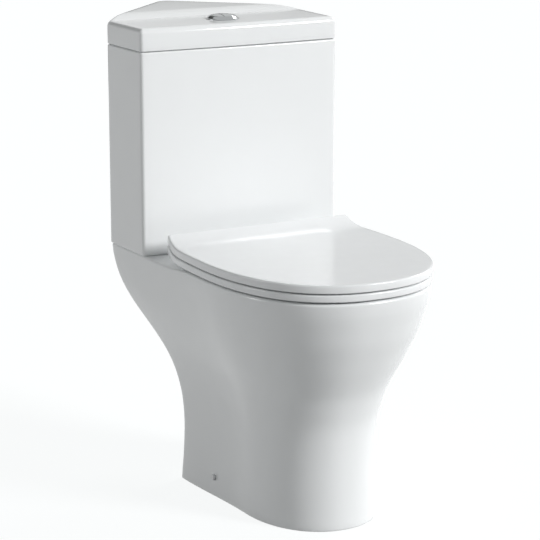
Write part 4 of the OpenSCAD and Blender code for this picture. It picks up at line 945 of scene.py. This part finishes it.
def make_bezel():
    """The push plate's rim, its neck through the lid and the ledge below the buttons."""
    bore = BUTTON_R + 0.4
    low = LID_LOW - NECK_DEPTH
    profile = [(bore, low + LEDGE), (LEDGE_R, low + LEDGE), (LEDGE_R, low), (NECK_R, low), (NECK_R, LID_LOW)]
    profile += [(BEZEL_R - inset, LID_LOW + rise) for inset, rise in BEZEL_ROWS]
    profile += [(bore + grow, LID_LOW + rise) for grow, rise in ((0.7, BEZEL_RISE), (0.25, 5.8), (0.0, 5.3))]
    bezel = lathe("push_plate", profile, (0, FLUSH_Y, 0), 144)
    dress(bezel, "lid_of_cistern", "chrome", "button_bezel")


def make_button(name, body, node, sign):
    """The part of a domed disc on one side of the slit, with softened edges."""
    cut = BUTTON_SPLIT + sign * BUTTON_SLIT / 2
    dome_r = (BUTTON_R**2 + BUTTON_DOME**2) / (2 * BUTTON_DOME)
    low, low_edge, flat = BUTTON_TOP - BUTTON_DEPTH, 0.6, 0.9
    middle = ((cut + sign * BUTTON_R) / 2, 0.0)

    def outline(inset, steps=72):
        r, edge = BUTTON_R - inset, cut + sign * inset
        first = math.acos(edge / r)
        if sign > 0:
            arc = [-first + 2 * first * k / steps for k in range(steps + 1)]
        else:
            arc = [first + (2 * math.pi - 2 * first) * k / steps for k in range(steps + 1)]
        points = [(r * math.cos(a), r * math.sin(a)) for a in arc]
        return points + segment(points[-1], points[0], 16)

    def crown(x, y):
        return BUTTON_TOP - dome_r + math.sqrt(dome_r**2 - x * x - y * y)

    rings = [at_z(outline(low_edge), low), at_z(outline(0), low + low_edge)]
    edge_rows = [(0, 3.0), (0, 1.2), (0, 0.6), (0.09, 0.35), (0.25, 0.12), (0.5, 0.0), (flat, 0.0)]
    for inset, drop in edge_rows:
        rings.append([(x, y, crown(x, y) - drop) for x, y in outline(inset)])
    for share in (0.85, 0.65, 0.45, 0.25, 0.1):
        ring = [mix2(middle, p, share) for p in outline(flat)]
        rings.append([(x, y, crown(x, y)) for x, y in ring])
    rings = [[(x, y + FLUSH_Y, z) for x, y, z in ring] for ring in rings]
    ends = [(middle[0], FLUSH_Y, low), (middle[0], FLUSH_Y, crown(*middle))]
    dress(skin(name, rings, *ends), body, "chrome", node)


make_pan()
make_tank()
make_cistern_lid()
make_ring()
make_seat_lid()
make_bezel()
make_button("large_button", "full_button", "full_flush_button", 1)
make_button("small_button", "half_button", "half_flush_button", -1)


# ---------------------------------------------------------------------------- floor, light, camera
STUDIO_WHITE = (0.985, 1.0, 1.0, 1.0)
FLOOR_PAINT, FLOOR_SHADE, FLOOR_GLOW = (0.4, 0.405, 0.405, 1.0), (0.14, 0.143, 0.143, 1.0), 0.89
FLOOR_HALF = 60.0
PHOTO_PIXELS, FOCAL_PIXELS, SENSOR_WIDTH = 540, 2175.219, 36.0
CAMERA_PLACE, CAMERA_DOWN, CAMERA_AZIMUTH = (-1.68552, -3.11933, 1.22652), 13.594, -28.569


def light_path_mask(tree):
    """1 for camera, mirror and see-through rays, 0 for the rays that light the object."""
    path = tree.nodes.new("ShaderNodeLightPath")
    seen = math_node(tree, "MAXIMUM", path.outputs["Is Camera Ray"], path.outputs["Is Glossy Ray"])
    return math_node(tree, "MAXIMUM", seen, path.outputs["Is Transmission Ray"])


def coloured(tree, kind, colour):
    """A plain shader node of the given kind."""
    node = tree.nodes.new(kind)
    node.inputs["Color"].default_value = colour
    return node


def horizontal(azimuth):
    """Unit vector towards an azimuth (0 is -Y, 90 is +X)."""
    a = math.radians(azimuth)
    return Vector((math.sin(a), -math.cos(a), 0))


def make_floor():
    """A floor that sends light back like grey paint, and is seen white with a soft shadow."""
    h = FLOOR_HALF
    mesh = bpy.data.meshes.new("floor")
    mesh.from_pydata([(-h, -h, 0), (h, -h, 0), (h, h, 0), (-h, h, 0)], [], [(0, 1, 2, 3)])
    floor = link("floor", mesh)
    mat, tree, shader = node_tree("floor_pale")
    tree.nodes.remove(shader)
    paint = coloured(tree, "ShaderNodeBsdfDiffuse", FLOOR_PAINT)
    shadow = coloured(tree, "ShaderNodeBsdfDiffuse", FLOOR_SHADE)
    glow = coloured(tree, "ShaderNodeEmission", STUDIO_WHITE)
    glow.inputs["Strength"].default_value = FLOOR_GLOW
    seen = tree.nodes.new("ShaderNodeAddShader")
    tree.links.new(shadow.outputs[0], seen.inputs[0])
    tree.links.new(glow.outputs[0], seen.inputs[1])
    mix = tree.nodes.new("ShaderNodeMixShader")
    tree.links.new(light_path_mask(tree), mix.inputs[0])
    tree.links.new(paint.outputs[0], mix.inputs[1])
    tree.links.new(seen.outputs[0], mix.inputs[2])
    tree.links.new(mix.outputs[0], tree.nodes["Material Output"].inputs["Surface"])
    mesh.materials.append(mat)


def make_world(ambient):
    """White where it is seen, and ambient where it lights the object."""
    world = bpy.data.worlds.new("studio")
    world.use_nodes = True
    tree = world.node_tree
    back = tree.nodes["Background"]
    back.inputs["Color"].default_value = STUDIO_WHITE
    strength = remap(tree, light_path_mask(tree), ambient, 1.0, 0.0, 1.0)
    tree.links.new(strength, back.inputs["Strength"])
    bpy.context.scene.world = world


def make_sun(name, azimuth, elevation, strength, angle, mirrored=True):
    """A soft directional light that comes from the given azimuth and elevation."""
    data = bpy.data.lights.new(name, "SUN")
    data.energy = strength
    data.angle = math.radians(angle)
    lamp = bpy.data.objects.new(name, data)
    e = math.radians(elevation)
    source = horizontal(azimuth) * math.cos(e) + Vector((0, 0, math.sin(e)))
    lamp.rotation_euler = source.to_track_quat("Z", "Y").to_euler()
    lamp.visible_glossy = mirrored
    bpy.context.scene.collection.objects.link(lamp)


def make_flag(name, azimuth, distance, half_width, low, high, from_glow, to_glow):
    """A studio flag that only mirror rays see, fading upwards from one grey to another."""
    mid = horizontal(azimuth) * distance
    side = horizontal(azimuth + 90) * half_width
    foot, head = Vector((0, 0, low)), Vector((0, 0, high))
    corners = [mid - side + foot, mid + side + foot, mid + side + head, mid - side + head]
    mesh = bpy.data.meshes.new(name)
    mesh.from_pydata([tuple(c) for c in corners], [], [(0, 1, 2, 3)])
    flag = link(name, mesh)
    mat, tree, shader = node_tree(name + "_grey")
    tree.nodes.remove(shader)
    glow = coloured(tree, "ShaderNodeEmission", STUDIO_WHITE)
    tree.links.new(remap(tree, own_height(tree), from_glow, to_glow, low, high), glow.inputs["Strength"])
    tree.links.new(glow.outputs[0], tree.nodes["Material Output"].inputs["Surface"])
    mesh.materials.append(mat)
    flag.visible_camera = False
    flag.visible_diffuse = False
    flag.visible_shadow = False
    flag.visible_transmission = False
    flag.visible_volume_scatter = False


def make_camera():
    """The photograph's camera."""
    data = bpy.data.cameras.new("camera")
    data.sensor_width = SENSOR_WIDTH
    data.lens = FOCAL_PIXELS / PHOTO_PIXELS * SENSOR_WIDTH
    data.clip_end = 100.0
    camera = bpy.data.objects.new("camera", data)
    camera.location = CAMERA_PLACE
    camera.rotation_euler = (math.radians(90 - CAMERA_DOWN), 0, math.radians(CAMERA_AZIMUTH))
    bpy.context.scene.collection.objects.link(camera)
    bpy.context.scene.camera = camera


make_floor()
make_flag("flag_low", 151.4, 4.0, 5.0, low=0.0, high=1.2, from_glow=0.06, to_glow=0.06)
make_flag("flag_high", 151.4, 4.0, 5.0, low=1.2, high=2.6, from_glow=0.74, to_glow=0.92)
make_flag("flag_left", 190.0, 4.2, 1.3, low=1.9, high=8.0, from_glow=0.08, to_glow=0.3)
make_world(0.2)
make_sun("key", azimuth=36.0, elevation=24.0, strength=2.75, angle=16.0)
make_sun("right", azimuth=108.0, elevation=30.0, strength=1.15, angle=25.0)
make_sun("left", azimuth=250.0, elevation=10.0, strength=0.56, angle=20.0)
make_sun("back", azimuth=172.0, elevation=3.0, strength=0.95, angle=30.0, mirrored=False)
make_camera()
bpy.context.scene.view_settings.view_transform = "Standard"
